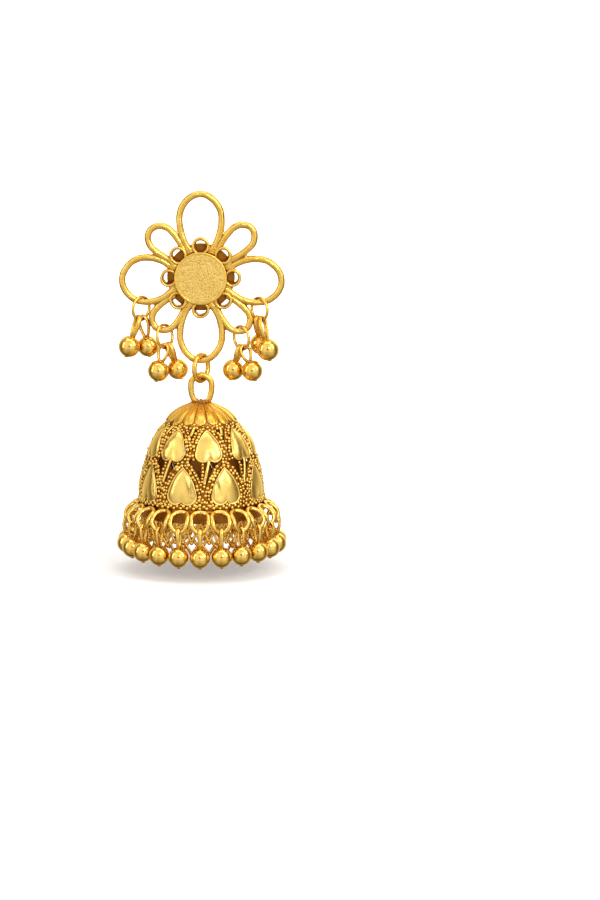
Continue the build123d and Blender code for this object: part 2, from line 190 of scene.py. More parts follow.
def place(name, me, body, stands_for=()):
    ob = bpy.data.objects.new(name, me)
    bpy.context.scene.collection.objects.link(ob)
    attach(ob, body)
    if stands_for:
        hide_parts(*stands_for)
    return ob


def grid_faces(rows, cols, wrap_r=False, wrap_c=True):
    r = np.arange(rows if wrap_r else rows - 1)
    c = np.arange(cols if wrap_c else cols - 1)
    r, c = np.meshgrid(r, c, indexing="ij")
    r2, c2 = (r + 1) % rows, (c + 1) % cols
    return np.stack([r * cols + c, r * cols + c2, r2 * cols + c2, r2 * cols + c], -1).reshape(-1, 4)


def tube(path, radii, side, closed=True, seg=12, round_ends=True, rough=0.0, seed=1):
    """A wire along path. radii is one radius, or (along side, across) for a flattened wire; side is the direction
    that the first of the two is measured in, roughly square to the path."""
    p = np.asarray(path, float)
    n = len(p)
    if closed:
        t = unit(np.roll(p, -1, 0) - np.roll(p, 1, 0))
    else:
        t = unit(np.gradient(p, axis=0))
    side = np.broadcast_to(np.asarray(side, float), (n, 3))
    a = unit(side - (side * t).sum(1)[:, None] * t)
    b = np.cross(t, a)
    r = np.asarray(radii, float)
    if r.ndim == 0:
        r = np.full((n, 2), float(r))
    elif r.ndim == 1 and len(r) == 2 and n != 2:
        r = np.tile(r, (n, 1))
    elif r.ndim == 1:
        r = np.stack([r, r], 1)
    if not closed and round_ends:
        k = 4
        ends = np.sin(np.linspace(0.12, pi / 2, k + 1))[:-1]
        back = 1 - np.sqrt(1 - ends**2)
        head_p = [p[0] - t[0] * r[0].mean() * (1 - q) for q in back[::1]]
        head = [p[0] - t[0] * r[0].mean() * sqrt(max(0.0, 1 - e * e)) for e in ends]
        tail = [p[-1] + t[-1] * r[-1].mean() * sqrt(max(0.0, 1 - e * e)) for e in ends[::-1]]
        p = np.vstack([head, p, tail])
        a = np.vstack([np.tile(a[0], (k, 1)), a, np.tile(a[-1], (k, 1))])
        b = np.vstack([np.tile(b[0], (k, 1)), b, np.tile(b[-1], (k, 1))])
        r = np.vstack([r[0] * ends[:, None], r, r[-1] * ends[::-1][:, None]])
        n = len(p)
    ang = np.linspace(0, 2 * pi, seg, endpoint=False)
    ca, sa = np.cos(ang), np.sin(ang)
    out = p[:, None] + a[:, None] * (r[:, 0, None] * ca)[..., None] + b[:, None] * (r[:, 1, None] * sa)[..., None]
    if rough:
        g = np.random.default_rng(seed)
        noise = g.normal(size=(n, seg))
        noise = (noise + np.roll(noise, 1, 0) + np.roll(noise, -1, 0) + np.roll(noise, 1, 1) + np.roll(noise, -1, 1)) / 5
        out += (out - p[:, None]) / np.linalg.norm(out - p[:, None], axis=-1, keepdims=True) * (noise * rough)[..., None]
    v = out.reshape(-1, 3)
    f = [grid_faces(n, seg, wrap_r=closed)[:, ::-1]]
    if not closed:
        v = np.vstack([v, p[0], p[-1]])
        i = np.arange(seg)
        f.append(np.stack([i, (i + 1) % seg, np.full(seg, n * seg)], 1)[:, ::-1][:, ::-1])
        j = (n - 1) * seg
        f.append(np.stack([j + (i + 1) % seg, j + i, np.full(seg, n * seg + 1)], 1))
    return v, f


def lathe(profile, centre, axis, up, seg=96, closed=True):
    """The profile (radius, height along axis) turned about the axis. A closed profile is a loop of points; an open one
    starts and ends on the axis."""
    pr = np.asarray(profile, float)
    axis, up = unit(V(*axis)), unit(V(*up))
    other = np.cross(axis, up)
    ang = np.linspace(0, 2 * pi, seg, endpoint=False)
    ring = np.cos(ang)[:, None] * up + np.sin(ang)[:, None] * other
    centre = V(*centre)
    if closed:
        v = centre + pr[:, None, 0, None] * ring[None] + pr[:, None, 1, None] * axis
        return v.reshape(-1, 3), [grid_faces(len(pr), seg, wrap_r=True)]
    body = pr[1:-1]
    v = (centre + body[:, None, 0, None] * ring[None] + body[:, None, 1, None] * axis).reshape(-1, 3)
    first, last = centre + axis * pr[0, 1], centre + axis * pr[-1, 1]
    v = np.vstack([v, first, last])
    i = np.arange(seg)
    j = (len(body) - 1) * seg
    return v, [grid_faces(len(body), seg), np.stack([(i + 1) % seg, i, np.full(seg, len(v) - 2)], 1),
               np.stack([j + i, j + (i + 1) % seg, np.full(seg, len(v) - 1)], 1)]


def ball(centre, r, seg=40, rings=26, up=(0, 0, 1), flat=1.0, uneven=0.0, seed=0):
    th = np.linspace(0, pi, rings + 1)[1:-1]
    prof = np.vstack([[0, -r * flat], np.stack([r * np.sin(th), -r * flat * np.cos(th)], 1), [0, r * flat]])
    up = unit(V(*up))
    ref = V(1, 0, 0) if abs(up[0]) < 0.9 else V(0, 1, 0)
    v, f = lathe(prof, (0, 0, 0), up, unit(ref - up * ref.dot(up)), seg, closed=False)
    if uneven:
        g = np.random.default_rng(seed)
        for _ in range(5):
            d = unit(g.normal(size=3))
            v = v * (1 + uneven * g.normal() * np.cos(2.3 * (v @ d) / r + g.uniform(0, 6)))[:, None]
    return v + V(*centre), f


def ico():
    """An icosahedron split once: 42 vertices and 80 faces."""
    t = (1 + sqrt(5)) / 2
    v = [(-1, t, 0), (1, t, 0), (-1, -t, 0), (1, -t, 0), (0, -1, t), (0, 1, t), (0, -1, -t), (0, 1, -t), (t, 0, -1),
         (t, 0, 1), (-t, 0, -1), (-t, 0, 1)]
    f = [(0, 11, 5), (0, 5, 1), (0, 1, 7), (0, 7, 10), (0, 10, 11), (1, 5, 9), (5, 11, 4), (11, 10, 2), (10, 7, 6),
         (7, 1, 8), (3, 9, 4), (3, 4, 2), (3, 2, 6), (3, 6, 8), (3, 8, 9), (4, 9, 5), (2, 4, 11), (6, 2, 10), (8, 6, 7),
         (9, 8, 1)]
    v = [unit(V(*p)) for p in v]
    mid, out = {}, []

    def half(a, b):
        key = (min(a, b), max(a, b))
        if key not in mid:
            mid[key] = len(v)
            v.append(unit(v[a] + v[b]))
        return mid[key]

    for a, b, c in f:
        ab, bc, ca = half(a, b), half(b, c), half(c, a)
        out += [(a, ab, ca), (b, bc, ab), (c, ca, bc), (ab, bc, ca)]
    return np.array(v), np.array(out)


ICO_V, ICO_F = ico()


def grains(bag, centres, sizes, normals, cav=0.0, mat=0):
    """Small soldered balls, a little uneven, one at each centre."""
    centres, sizes, normals = np.asarray(centres), np.asarray(sizes), unit(np.asarray(normals))
    n = len(centres)
    if not n:
        return
    q = rng.normal(size=(n, 3, 3))
    turn = np.stack([np.linalg.qr(m)[0] for m in q])
    turn *= np.sign(np.linalg.det(turn))[:, None, None]
    v = np.einsum("nij,kj->nki", turn, ICO_V) * (1 + rng.normal(size=(n, len(ICO_V), 1)) * 0.025)
    v = v * sizes[:, None, None]
    lift = np.einsum("nki,ni->nk", v, normals)
    v = v - normals[:, None] * (lift * 0.14)[..., None]
    v = (v + centres[:, None]).reshape(-1, 3)
    f = (ICO_F[None] + (np.arange(n) * len(ICO_V))[:, None, None]).reshape(-1, 3)
    bag.add(v, [f], cav, mat)


def remeshed(bag, voxel, rounds, fillet):
    """The bag's closed shapes melted into one skin with small fillets, as soldered wires are. Returns vertices, quads
    and how hollow each point lies."""
    me = bag.mesh("melt", [], scale=1.0)
    ob = bpy.data.objects.new("melt", me)
    bpy.context.scene.collection.objects.link(ob)
    mod = ob.modifiers.new("melt", "REMESH")
    mod.mode, mod.voxel_size, mod.adaptivity = "VOXEL", voxel, 0.0
    done = bpy.data.meshes.new_from_object(ob.evaluated_get(bpy.context.evaluated_depsgraph_get()))
    bpy.data.objects.remove(ob)
    v = np.empty(len(done.vertices) * 3)
    done.vertices.foreach_get("co", v)
    v = v.reshape(-1, 3)
    e = np.empty(len(done.edges) * 2, np.int32)
    done.edges.foreach_get("vertices", e)
    e = e.reshape(-1, 2)
    size = np.array([len(p.vertices) for p in done.polygons])
    loops = np.empty(len(done.loops), np.int32)
    done.loops.foreach_get("vertex_index", loops)
    assert (size == 4).all()
    quads = loops.reshape(-1, 4)
    bpy.data.meshes.remove(done)
    deg = np.bincount(e.ravel(), minlength=len(v)).astype(float)

    def mean(x):
        out = np.zeros_like(x)
        for k in range(x.shape[1]):
            out[:, k] = np.bincount(e[:, 0], x[e[:, 1], k], len(x)) + np.bincount(e[:, 1], x[e[:, 0], k], len(x))
        return out / deg[:, None]

    for k in range(rounds):
        v = v + 0.55 * (mean(v) - v)
        if k % 2:
            v = v - 0.56 * (mean(v) - v)
    soft = v.copy()
    for _ in range(fillet):
        soft = soft + 0.6 * (mean(soft) - soft)
    n = np.zeros_like(v)
    a, b, c, d = (v[quads[:, k]] for k in range(4))
    fn = np.cross(c - a, d - b)
    for k in range(4):
        for x in range(3):
            n[:, x] += np.bincount(quads[:, k], fn[:, x], len(v))
    n = unit(n)
    hollow = ((soft - v) * n).sum(1)
    return v, quads, n, hollow


# ------------------------------------------------------------------ materials
class Nodes:
    def __init__(self, name):
        self.mat = bpy.data.materials.new(name)
        self.mat.use_nodes = True
        self.nt = self.mat.node_tree
        self.nt.nodes.clear()

    def new(self, kind, **sets):
        n = self.nt.nodes.new(kind)
        for k, v in sets.items():
            setattr(n, k, v)
        return n

    def link(self, a, b):
        self.nt.links.new(a, b)

    def value(self, node, name, v):
        node.inputs[name].default_value = v

    def noise(self, coords, scale, detail=2.0, rough=0.5, stretch=None):
        if stretch:
            m = self.new("ShaderNodeMapping")
            m.inputs["Scale"].default_value = stretch
            self.link(coords, m.inputs["Vector"])
            coords = m.outputs["Vector"]
        n = self.new("ShaderNodeTexNoise")
        n.inputs["Scale"].default_value = scale
        n.inputs["Detail"].default_value = detail
        n.inputs["Roughness"].default_value = rough
        self.link(coords, n.inputs["Vector"])
        return n.outputs["Fac"]

    def span(self, x, a, b, c, d):
        n = self.new("ShaderNodeMapRange", clamp=True)
        for k, v in zip(("From Min", "From Max", "To Min", "To Max"), (a, b, c, d)):
            n.inputs[k].default_value = v
        self.link(x, n.inputs["Value"])
        return n.outputs["Result"]

    def math(self, op, a, b):
        n = self.new("ShaderNodeMath", operation=op)
        for i, x in enumerate((a, b)):
            if isinstance(x, (int, float)):
                n.inputs[i].default_value = x
            else:
                self.link(x, n.inputs[i])
        return n.outputs[0]

    def mix(self, fac, a, b):
        n = self.new("ShaderNodeMix", data_type="RGBA")
        for s, x in ((n.inputs["Factor"], fac), (n.inputs["A"], a), (n.inputs["B"], b)):
            if isinstance(x, (int, float)):
                s.default_value = x
            elif isinstance(x, tuple):
                s.default_value = (*x, 1)
            else:
                self.link(x, s)
        return n.outputs["Result"]


def gold(name, light, deep, dirt_and_shade, rough, grain, grain_mm, grain_um, lump_um=6.0, speckle=0.12, ao_mm=0.9, ao_power=1.0,
         lines=None):
    """Gold plate. light and deep are the two tones it wanders between, the third colour that of its dirt speckles and
    of the painted shade in its recesses, rough the range of its roughness; grain is the bump's fine noise (size in mm,
    height in micrometres) and lump its slow one."""
    k = Nodes(name)
    co = k.new("ShaderNodeTexCoord").outputs["Object"]
    big = k.noise(co, 420, 3, 0.55)
    mid = k.noise(co, 2300, 3, 0.6)
    fine = k.noise(co, 1000 / grain_mm, 3, 0.65)
    tone = k.span(k.math("ADD", k.math("MULTIPLY", big, 0.6), k.math("MULTIPLY", mid, 0.4)), 0.36, 0.66, 0, 1)
    col = k.mix(tone, deep, light)
    spots = k.span(fine, 0.30, 0.46, speckle, 0.0)
    col = k.mix(spots, col, dirt_and_shade)
    # painted shade: ambient occlusion and the per-point shade amount darken the colour towards the third colour in
    # recesses and where parts meet
    ao = k.new("ShaderNodeAmbientOcclusion", samples=3)
    ao.inputs["Distance"].default_value = ao_mm * MM
    cav = k.new("ShaderNodeAttribute", attribute_name="cav")
    shade = k.span(ao.outputs["AO"], 0.12, 0.72, 1.0, 0.0)
    shade = k.math("MULTIPLY", k.math("POWER", shade, 1.25), ao_power)
    shade = k.math("MAXIMUM", shade, cav.outputs["Fac"])
    shade = k.math("MINIMUM", shade, 0.97)
    col = k.mix(shade, col, dirt_and_shade)
    p = k.new("ShaderNodeBsdfPrincipled")
    p.inputs["Metallic"].default_value = 1.0
    p.inputs["IOR"].default_value = 1.5
    p.inputs["Specular Tint"].default_value = (1.0, 0.84, 0.58, 1)
    k.link(col, p.inputs["Base Color"])
    r = k.span(mid, 0.3, 0.7, rough[0], rough[1])
    r = k.math("ADD", r, k.math("MULTIPLY", shade, 0.18))
    k.link(r, p.inputs["Roughness"])
    height = k.math("ADD", k.math("MULTIPLY", fine, grain * 1.0), k.math("MULTIPLY", big, 0.0))
    b1 = k.new("ShaderNodeBump")
    b1.inputs["Strength"].default_value = 1.0
    b1.inputs["Distance"].default_value = grain_um * 1e-6
    k.link(height, b1.inputs["Height"])
    b2 = k.new("ShaderNodeBump")
    b2.inputs["Strength"].default_value = 1.0
    b2.inputs["Distance"].default_value = lump_um * 1e-6
    k.link(k.noise(co, 900, 2, 0.5), b2.inputs["Height"])
    k.link(b2.outputs["Normal"], b1.inputs["Normal"])
    k.link(b1.outputs["Normal"], p.inputs["Normal"])
    out = k.new("ShaderNodeOutputMaterial")
    k.link(p.outputs["BSDF"], out.inputs["Surface"])
    return k.mat


# the third colour serves both as dirt speckles and as the painted shade in recesses
LIGHT, DEEP, DIRT_AND_SHADE = (0.95, 0.64, 0.16), (0.88, 0.53, 0.085), (0.27, 0.080, 0.004)
m_wire = gold("gold_wire", LIGHT, DEEP, DIRT_AND_SHADE, (0.13, 0.24), 1.0, 0.15, 22, lump_um=22, speckle=0.55)
m_frost = gold("gold_frosted", (0.93, 0.65, 0.19), (0.87, 0.58, 0.15), (0.42, 0.22, 0.03), (0.40, 0.54), 1.0, 0.22, 190,
               lump_um=4, speckle=0.95)
m_heart = gold("gold_heart", (0.985, 0.69, 0.20), (0.95, 0.63, 0.15), DIRT_AND_SHADE, (0.20, 0.30), 1.0, 0.20, 9, lump_um=22,
               speckle=0.06)
m_grain = gold("gold_granule", (0.97, 0.67, 0.18), (0.92, 0.58, 0.11), DIRT_AND_SHADE, (0.10, 0.20), 1.0, 0.12, 14, lump_um=8, speckle=0.25,
               ao_mm=0.7, ao_power=0.9)
m_ball = gold("gold_ball", (0.95, 0.64, 0.16), (0.90, 0.56, 0.11), DIRT_AND_SHADE, (0.08, 0.14), 1.0, 0.20, 7, lump_um=14,
              speckle=0.12, ao_mm=0.6)
m_cap = gold("gold_cap", (0.91, 0.60, 0.14), (0.84, 0.45, 0.05), DIRT_AND_SHADE, (0.22, 0.34), 1.0, 0.2, 18, lump_um=26, speckle=0.2)
m_plain = gold("gold_plain", LIGHT, DEEP, DIRT_AND_SHADE, (0.18, 0.28), 1.0, 0.25, 10, lump_um=10, speckle=0.1)
# a shaded copy of the gold, painted shade for recesses
m_recess_shade = gold("gold_recess_shade", (0.60, 0.28, 0.05), (0.36, 0.13, 0.02), DIRT_AND_SHADE, (0.34, 0.5), 1.0, 0.2, 20, lump_um=20,
              speckle=0.3)
# a shaded copy of the gold, painted shade for the carrier wires and bands in the gaps between granules
m_gap_shade = gold("gold_gap_shade", (0.52, 0.22, 0.03), (0.34, 0.11, 0.012), (0.20, 0.05, 0.003), (0.30, 0.45), 1.0, 0.2, 20, lump_um=20,
              speckle=0.3)
m_solder = gold("gold_solder", (0.70, 0.36, 0.07), (0.42, 0.17, 0.03), DIRT_AND_SHADE, (0.28, 0.45), 1.0, 0.15, 30, lump_um=20,
                speckle=0.5)


# ------------------------------------------------------------------ flower
def petal_line(p, n=150):
    h = p["tip"] - p["widest"]
    shoulder = (p["half"] ** 2 + h**2 - 2 * h * p["round"]) / (2 * (p["half"] - p["round"]))
    c1 = (p["half"] - shoulder, p["widest"])
    c2 = (0.0, p["tip"] - p["round"])
    join = degrees(atan2(c2[1] - c1[1], c2[0] - c1[0]))
    rise, narrow = p["widest"] - p["foot"], p["half"] - p["foot_half"]
    side = (rise**2 + narrow**2) / (2 * narrow)
    c0 = (p["half"] - side, p["widest"])
    right = np.vstack([arc(c0, side, -degrees(asin(rise / side)), 0), arc(c1, shoulder, 0, join)[1:],
                       arc(c2, p["round"], join, 90)[1:]])
    left = right[::-1] * (-1, 1)
    both = np.vstack([right, left[1:]])
    feet = [np.array([(sin(radians(q)) * r, cos(radians(q)) * r) for r, q in
                      ((4.35, 21.0), (4.7, 20.6), (5.02, (20.6 + degrees(atan2(p["foot_half"], p["foot"]))) / 2))])]
    both = np.vstack([feet[0], both, (feet[0] * (-1, 1))[::-1]])
    line = resample(both, n)
    a = radians(p["angle"])
    x, y = V(sin(a), 0, -cos(a)), V(cos(a), 0, sin(a))
    return V(0, MID_Y, 0) + line[:, :1] * x + line[:, 1:] * y


def make_flower():
    bag = Bag()
    for k, p in enumerate(PETALS):
        line = petal_line(p)
        n = len(line)
        # the wire is worn a little thinner where a ring hangs on it
        hung = [V(0, MID_Y, -13.3)] + [V(c["x"], MID_Y, c["z"]) for c in CLUSTERS]
        away = np.min([np.linalg.norm(line - h, axis=1) for h in hung], axis=0)
        r = 0.53 + 0.06 * (1 - np.exp(-(away / 1.3) ** 2)) + wobble(n, 0.010, (3, 5, 9), 20 + k, closed=False)
        v, f = tube(line, np.stack([r, r * 0.94], 1), (0, 1, 0), closed=False, seg=20, rough=0.0)
        bag.add(v, f)
    # the hub is a flat ring with the eight tubes' bores through it
    seg = 192
    ang = np.linspace(0, 2 * pi, seg, endpoint=False)
    inner = np.stack([3.1 * np.cos(ang), 3.1 * np.sin(ang)], 1)
    pos = (ang + pi / 8) % (pi / 4) - pi / 8
    inside = np.abs(5.05 * np.sin(pos)) < 1.19
    bore = 5.05 * np.cos(pos) - np.sqrt(np.clip(1.19**2 - (5.05 * np.sin(pos)) ** 2, 0, None))
    reach = np.where(inside, np.maximum(bore, 3.35), 5.0)
    outer = np.stack([reach * np.cos(ang), reach * np.sin(ang)], 1)
    rings = [(inner, -0.92), (outer, -0.92), (outer, -1.9), (inner, -1.9)]
    v = np.vstack([np.stack([q[:, 0], np.full(seg, y), q[:, 1]], 1) for q, y in rings])
    bag.add(v, [grid_faces(4, seg, wrap_r=True)])
    # lumps of solder where neighbouring wires meet
    g = np.random.default_rng(3)
    lines = [petal_line(q) for q in sorted(PETALS, key=lambda q: q["angle"] % 360)]
    for one, two in zip(lines, lines[1:] + lines[:1]):
        apart = np.linalg.norm(one[:, None] - two[None], axis=2)
        near = apart.argmin(1)
        gap = apart.min(1)
        far_out = np.hypot(one[:, 0], one[:, 2])
        fits = np.nonzero((gap > 0.85) & (gap < 1.35) & (far_out > 5.3) & (far_out < 8.2))[0]
        for i in fits[:: max(1, len(fits) // 4)]:
            c = (one[i] + two[near[i]]) / 2 + V(0, g.uniform(-0.16, 0.0), 0)
            v, f = ball(c, 0.20 + 0.22 * (gap[i] - 0.6) + g.uniform(-0.03, 0.03), 16, 10)
            bag.add(v, f)
    return bag


flower = make_flower()
fv, fq, fn, hollow = remeshed(flower, 0.1, 6, 10)
# pits and file marks in the wire, cut by a smooth seeded noise
def lumps(v, scale, seed, n=24):
    g = np.random.default_rng(seed)
    out = np.zeros(len(v))
    for _ in range(n):
        d = unit(g.normal(size=3)) * scale * g.uniform(0.6, 1.5)
        out += np.sin(v @ d + g.uniform(0, 2 * pi))
    return out / sqrt(n / 2)


fv = fv + fn * (0.011 * lumps(fv, 4.5, 5) + 0.016 * np.minimum(0, lumps(fv, 9.0, 6) + 0.9))[:, None]
skin = Bag()
# painted shade in the hollows where the wires melt together
skin.add(fv, [fq], cav=np.clip((hollow - 0.003) / 0.022, 0, 0.85))

# the eight small tubes round the disc
tubes = Bag()
for k in range(8):
    a = radians(45 * k)
    c = (5.05 * cos(a), 0, 5.05 * sin(a))
    prof = [(0.80, 0.63), (1.34, 0.63), (1.39, 0.9), (1.43, 2.12), (1.41, 2.24), (1.34, 2.33), (1.21, 2.37), (1.07, 2.33),
            (0.97, 2.22), (0.93, 2.0)]
    v, f = lathe(prof, c, (0, -1, 0), (1, 0, 0), 48)
    w = v.copy()
    w[:, 0] += 0.03 * lumps(v * (1, 0.2, 1), 2.0, 40 + k)
    w[:, 2] += 0.03 * lumps(v * (1, 0.2, 1), 2.0, 60 + k)
    w[:, 1] -= np.where(v[:, 1] < -2.2, 0.02 * lumps(v, 3.0, 80 + k), 0)
    # painted shade inside each bore, deeper further in
    r = np.hypot(v[:, 0] - c[0], v[:, 2] - c[2])
    inside = (r < 1.05) & (v[:, 1] > -2.25)
    tubes.add(w, [q[:, ::-1] for q in f], cav=np.where(inside, np.where(v[:, 1] > -1.9, 0.85, 0.4), 0.0))
skin.piece("flower_wires", [m_wire], "flower", "gold_wire", ["rosette"])
tubes.piece("flower_tubes", [m_wire], "flower", "gold_wire")

# the frosted disc with its thin bright rim
disc = Bag()
R = 4.18
prof = [(0, 3.0)] + [(r, 3.0) for r in np.linspace(0.35, 3.78, 16)] + [(3.86, 3.0), (3.90, 3.005), (3.94, 3.02), (4.02, 3.03),
       (4.12, 3.02), (4.18, 2.95), (4.18, 2.6), (4.16, 2.42), (4.10, 2.37), (0.3, 2.37), (0, 2.37)]
v, f = lathe(prof, (0, 0, 0), (0, -1, 0), (1, 0, 0), 128, closed=False)
quads = f[0]
edge = (np.hypot(v[quads].mean(1)[:, 0], v[quads].mean(1)[:, 2]) > 3.80) | (v[quads].mean(1)[:, 1] > -2.9)
disc.add(v, [quads[~edge][:, ::-1]] + [q[:, ::-1] for q in f[1:]], cav=0.0, mat=0)
disc.n -= len(v)
disc.f.append(quads[edge][:, ::-1] + disc.n)
disc.m.append(np.full(int(edge.sum()), 1))
disc.n += len(v)
disc.piece("centre_disc_plate", [m_frost, m_plain], "flower", "gold_frosted", ["centre_disc"])

# post and pad behind
post = Bag()
prof = [(0, -0.6), (5.1, -0.6), (5.3, -0.56), (5.38, -0.45), (5.4, -0.3), (5.38, -0.15), (5.3, -0.04), (5.15, 0), (1.1, 0.0),
        (0.75, 0.08), (0.55, 0.3), (0.45, 0.62), (0.45, 9.2), (0.42, 9.35), (0.39, 9.5), (0.42, 9.65), (0.45, 9.8), (0.45, 10.5),
        (0.36, 10.85), (0.2, 10.97), (0, 11.0)]
v, f = lathe(prof, (0, 0, 0), (0, 1, 0), (1, 0, 0), 96, closed=False)
# painted shade on the pad's front face, in the shadow behind the disc and tubes
post.add(v, [q[:, ::-1] for q in f], cav=np.where(v[:, 1] < -0.5, 0.9, 0.0))
post.piece("ear_post_and_pad", [m_plain], "flower", "gold_plain", ["ear_post"], sharp=40)

# ------------------------------------------------------------------ jump ring between flower and bell
t = radians(RING_TURN)
ring_x, up = V(cos(t), sin(t), 0), V(0, 0, 1)


def circle(c, r, x, y, n):
    a = np.linspace(0, 2 * pi, n, endpoint=False)[:, None]
    return c + r * (np.cos(a) * x + np.sin(a) * y)


jump = Bag()
path = circle(RING_C, RING_R, ring_x, up, 96)
v, f = tube(path, (RING_WIRE, RING_WIRE), np.cross(ring_x, up), seg=20, rough=0.02, seed=4)
jump.add(v, f)
jump.piece("jump_ring", [m_wire], "drop_ring", "gold_wire", ["drop_ring"])


# ------------------------------------------------------------------ bell wall: a place on it
profile = smooth_line(WALL, 600)
prof_s = np.concatenate([[0], np.cumsum(np.linalg.norm(np.diff(profile, axis=0), axis=1))])
prof_t = unit(np.gradient(profile, axis=0))
prof_n = np.stack([-prof_t[:, 1], prof_t[:, 0]], 1)


def s_of_z(z):
    return np.interp(-z, -profile[:, 1], prof_s)


def wall(theta, s, lift):
    """The point on the bell's wall at angle theta (radians from the front, towards +X) and arc length s from the collar,
    raised by lift, and its normal."""
    theta, s, lift = np.broadcast_arrays(*(np.asarray(x, float) for x in (theta, s, lift)))
    r, z = np.interp(s, prof_s, profile[:, 0]), np.interp(s, prof_s, profile[:, 1])
    nr, nz = np.interp(s, prof_s, prof_n[:, 0]), np.interp(s, prof_s, prof_n[:, 1])
    out = np.stack([np.sin(theta), -np.cos(theta), np.zeros_like(theta)], -1)
    zz = np.stack([np.zeros_like(theta)] * 2 + [np.ones_like(theta)], -1)
    n = out * nr[..., None] + zz * nz[..., None]
    return out * r[..., None] + zz * z[..., None] + V(0, MID_Y, 0) + n * lift[..., None], n


def r_of_s(s):
    return np.interp(s, prof_s, profile[:, 0])


# ------------------------------------------------------------------ hearts
def heart_line(w, h, n=72):
    """Half of the heart is two arcs; tip up. w and h are half sizes."""
    def three(a, b, c, m):
        ax, ay, bx, by, cx, cy = *a, *b, *c
        d = 2 * (ax * (by - cy) + bx * (cy - ay) + cx * (ay - by))
        ux = ((ax**2 + ay**2) * (by - cy) + (bx**2 + by**2) * (cy - ay) + (cx**2 + cy**2) * (ay - by)) / d
        uy = ((ax**2 + ay**2) * (cx - bx) + (bx**2 + by**2) * (ax - cx) + (cx**2 + cy**2) * (bx - ax)) / d
        r = np.hypot(ax - ux, ay - uy)
        t0, t1, t2 = (np.arctan2(y - uy, x - ux) for x, y in (a, b, c))
        t1 = t0 + (t1 - t0 + pi) % (2 * pi) - pi
        t2 = t1 + (t2 - t1 + pi) % (2 * pi) - pi
        tt = np.linspace(t0, t2, m)
        return np.stack([ux + r * np.cos(tt), uy + r * np.sin(tt)], 1)

    right = np.vstack([three((0, h), (0.70 * w, 0.30 * h), (w, -0.34 * h), 30),
                       three((w, -0.34 * h), (0.58 * w, -0.98 * h), (0, -0.80 * h), 30)[1:]])
    left = (right * (-1, 1))[::-1]
    return resample(np.vstack([right, left[1:-1]]), n, closed=True)


HEARTS = []
for row, (angles, z, size) in enumerate(((UPPER_HEARTS, UPPER_Z, UPPER_SIZE), (LOWER_HEARTS, LOWER_Z, LOWER_SIZE))):
    for k, a in enumerate(angles):
        HEARTS.append(dict(row=row, angle=radians(a), s=float(s_of_z(z)), w=size[0] / 2, h=size[1] / 2,
                           line=heart_line(size[0] / 2, size[1] / 2)))


def to_wall(hh, a, b, lift):
    """Heart's own place (a across, b up) to the wall."""
    s = hh["s"] - b
    s_for_r = np.clip(s, 0.5, prof_s[-1])
    theta = hh["angle"] + a / r_of_s(s_for_r)
    return wall(theta, s, lift)


def make_hearts():
    bag = Bag()
    fr = np.array([0.12, 0.25, 0.4, 0.54, 0.66, 0.76, 0.83, 0.875, 0.90, 0.925, 0.955, 0.985, 1.0])
    for k, hh in enumerate(HEARTS):
        g = np.random.default_rng(100 + k)
        line = hh["line"]
        n = len(line)
        w, h = hh["w"], hh["h"]
        centre = V(0, -0.12 * h)
        fr0 = np.concatenate([[0.0], fr])
        mid = np.vstack([centre[None] + (line - centre) * q for q in fr0])
        q = np.repeat(fr0, n)
        x, y = mid[:, 0] / w, mid[:, 1] / h
        valley = np.exp(-(x / 0.25) ** 2) * np.clip((-0.25 - y) / 0.5, 0, 1)
        plump = g.uniform(0.20, 0.32) if hh["row"] == 0 else g.uniform(0.14, 0.24)
        crown = plump * (1 - (q / 0.9) ** 3.2) * (q < 0.9) * (1 - 0.38 * valley)
        tilt = g.normal() * 0.09 * x + g.normal() * 0.07 * y
        p1, p2, p3 = g.uniform(0, 6, 3)
        dent = 0.06 * np.sin(2.1 * x + p1) * np.sin(1.7 * y + p2) + g.normal() * 0.025 * np.sin(3.3 * x + 2.2 * y + p3)
        crease = 0.15 * g.uniform(0.2, 1.0) * np.exp(-((x - g.choice([-1, 1]) * 0.62 + 0.25 * y) / 0.14) ** 2) * (y > -0.6) * (y < 0.5)
        lift = crown + np.where(q < 0.9, 1, 0) * (tilt + dent - crease) * (1 - (q / 0.92) ** 6)
        lift += np.select([q >= 0.999, q > 0.98, q > 0.95, q > 0.92, q > 0.895, q > 0.87], [0.05, 0.12, 0.15, 0.13, 0.06, 0.06], 0.08)
        rim_wave = 0.03 * np.sin(3 * np.arctan2(y, x) + g.uniform(0, 6)) + g.uniform(0.0, 0.05) * x
        lift += np.where(q > 0.91, rim_wave, 0)
        pts, _ = to_wall(hh, mid[:, 0], mid[:, 1], lift - 0.10)
        ctr, top = pts[0], pts[n:]
        q = q[n:]
        low1, _ = to_wall(hh, line[:, 0], line[:, 1], np.full(n, -0.1))
        low2, _ = to_wall(hh, line[:, 0] * 0.985, line[:, 1] * 0.985, np.full(n, -0.42))
        inner = np.vstack([centre[None] + (line - centre) * s for s in (0.8, 0.45)])
        low3, _ = to_wall(hh, inner[:, 0], inner[:, 1], np.repeat([-0.38, -0.25], n))
        back, _ = to_wall(hh, centre[0], centre[1], np.array(-0.2))
        v = np.vstack([ctr[None], top, low1, low2, low3, back[None]])
        rows = len(fr) + 4
        faces = grid_faces(rows, n) + 1
        i = np.arange(n)
        first = np.stack([np.zeros(n, int), 1 + i, 1 + (i + 1) % n], 1)
        last_row = 1 + (rows - 1) * n
        last = np.stack([last_row + (i + 1) % n, last_row + i, np.full(n, len(v) - 1)], 1)
        # painted shade: a little in the groove inside the rim and on the outer edge, and deep shade on the heart's
        # back, seen through the windows
        cav = np.zeros(len(v))
        qq = np.concatenate([[0], q])
        cav[: len(qq)] = np.where((qq > 0.86) & (qq < 0.91), 0.28, 0) + np.where(qq > 0.995, 0.3, 0)
        cav[len(qq):] = 0.88
        bag.add(v, [faces, first, last], cav)
    return bag


hearts = make_hearts()


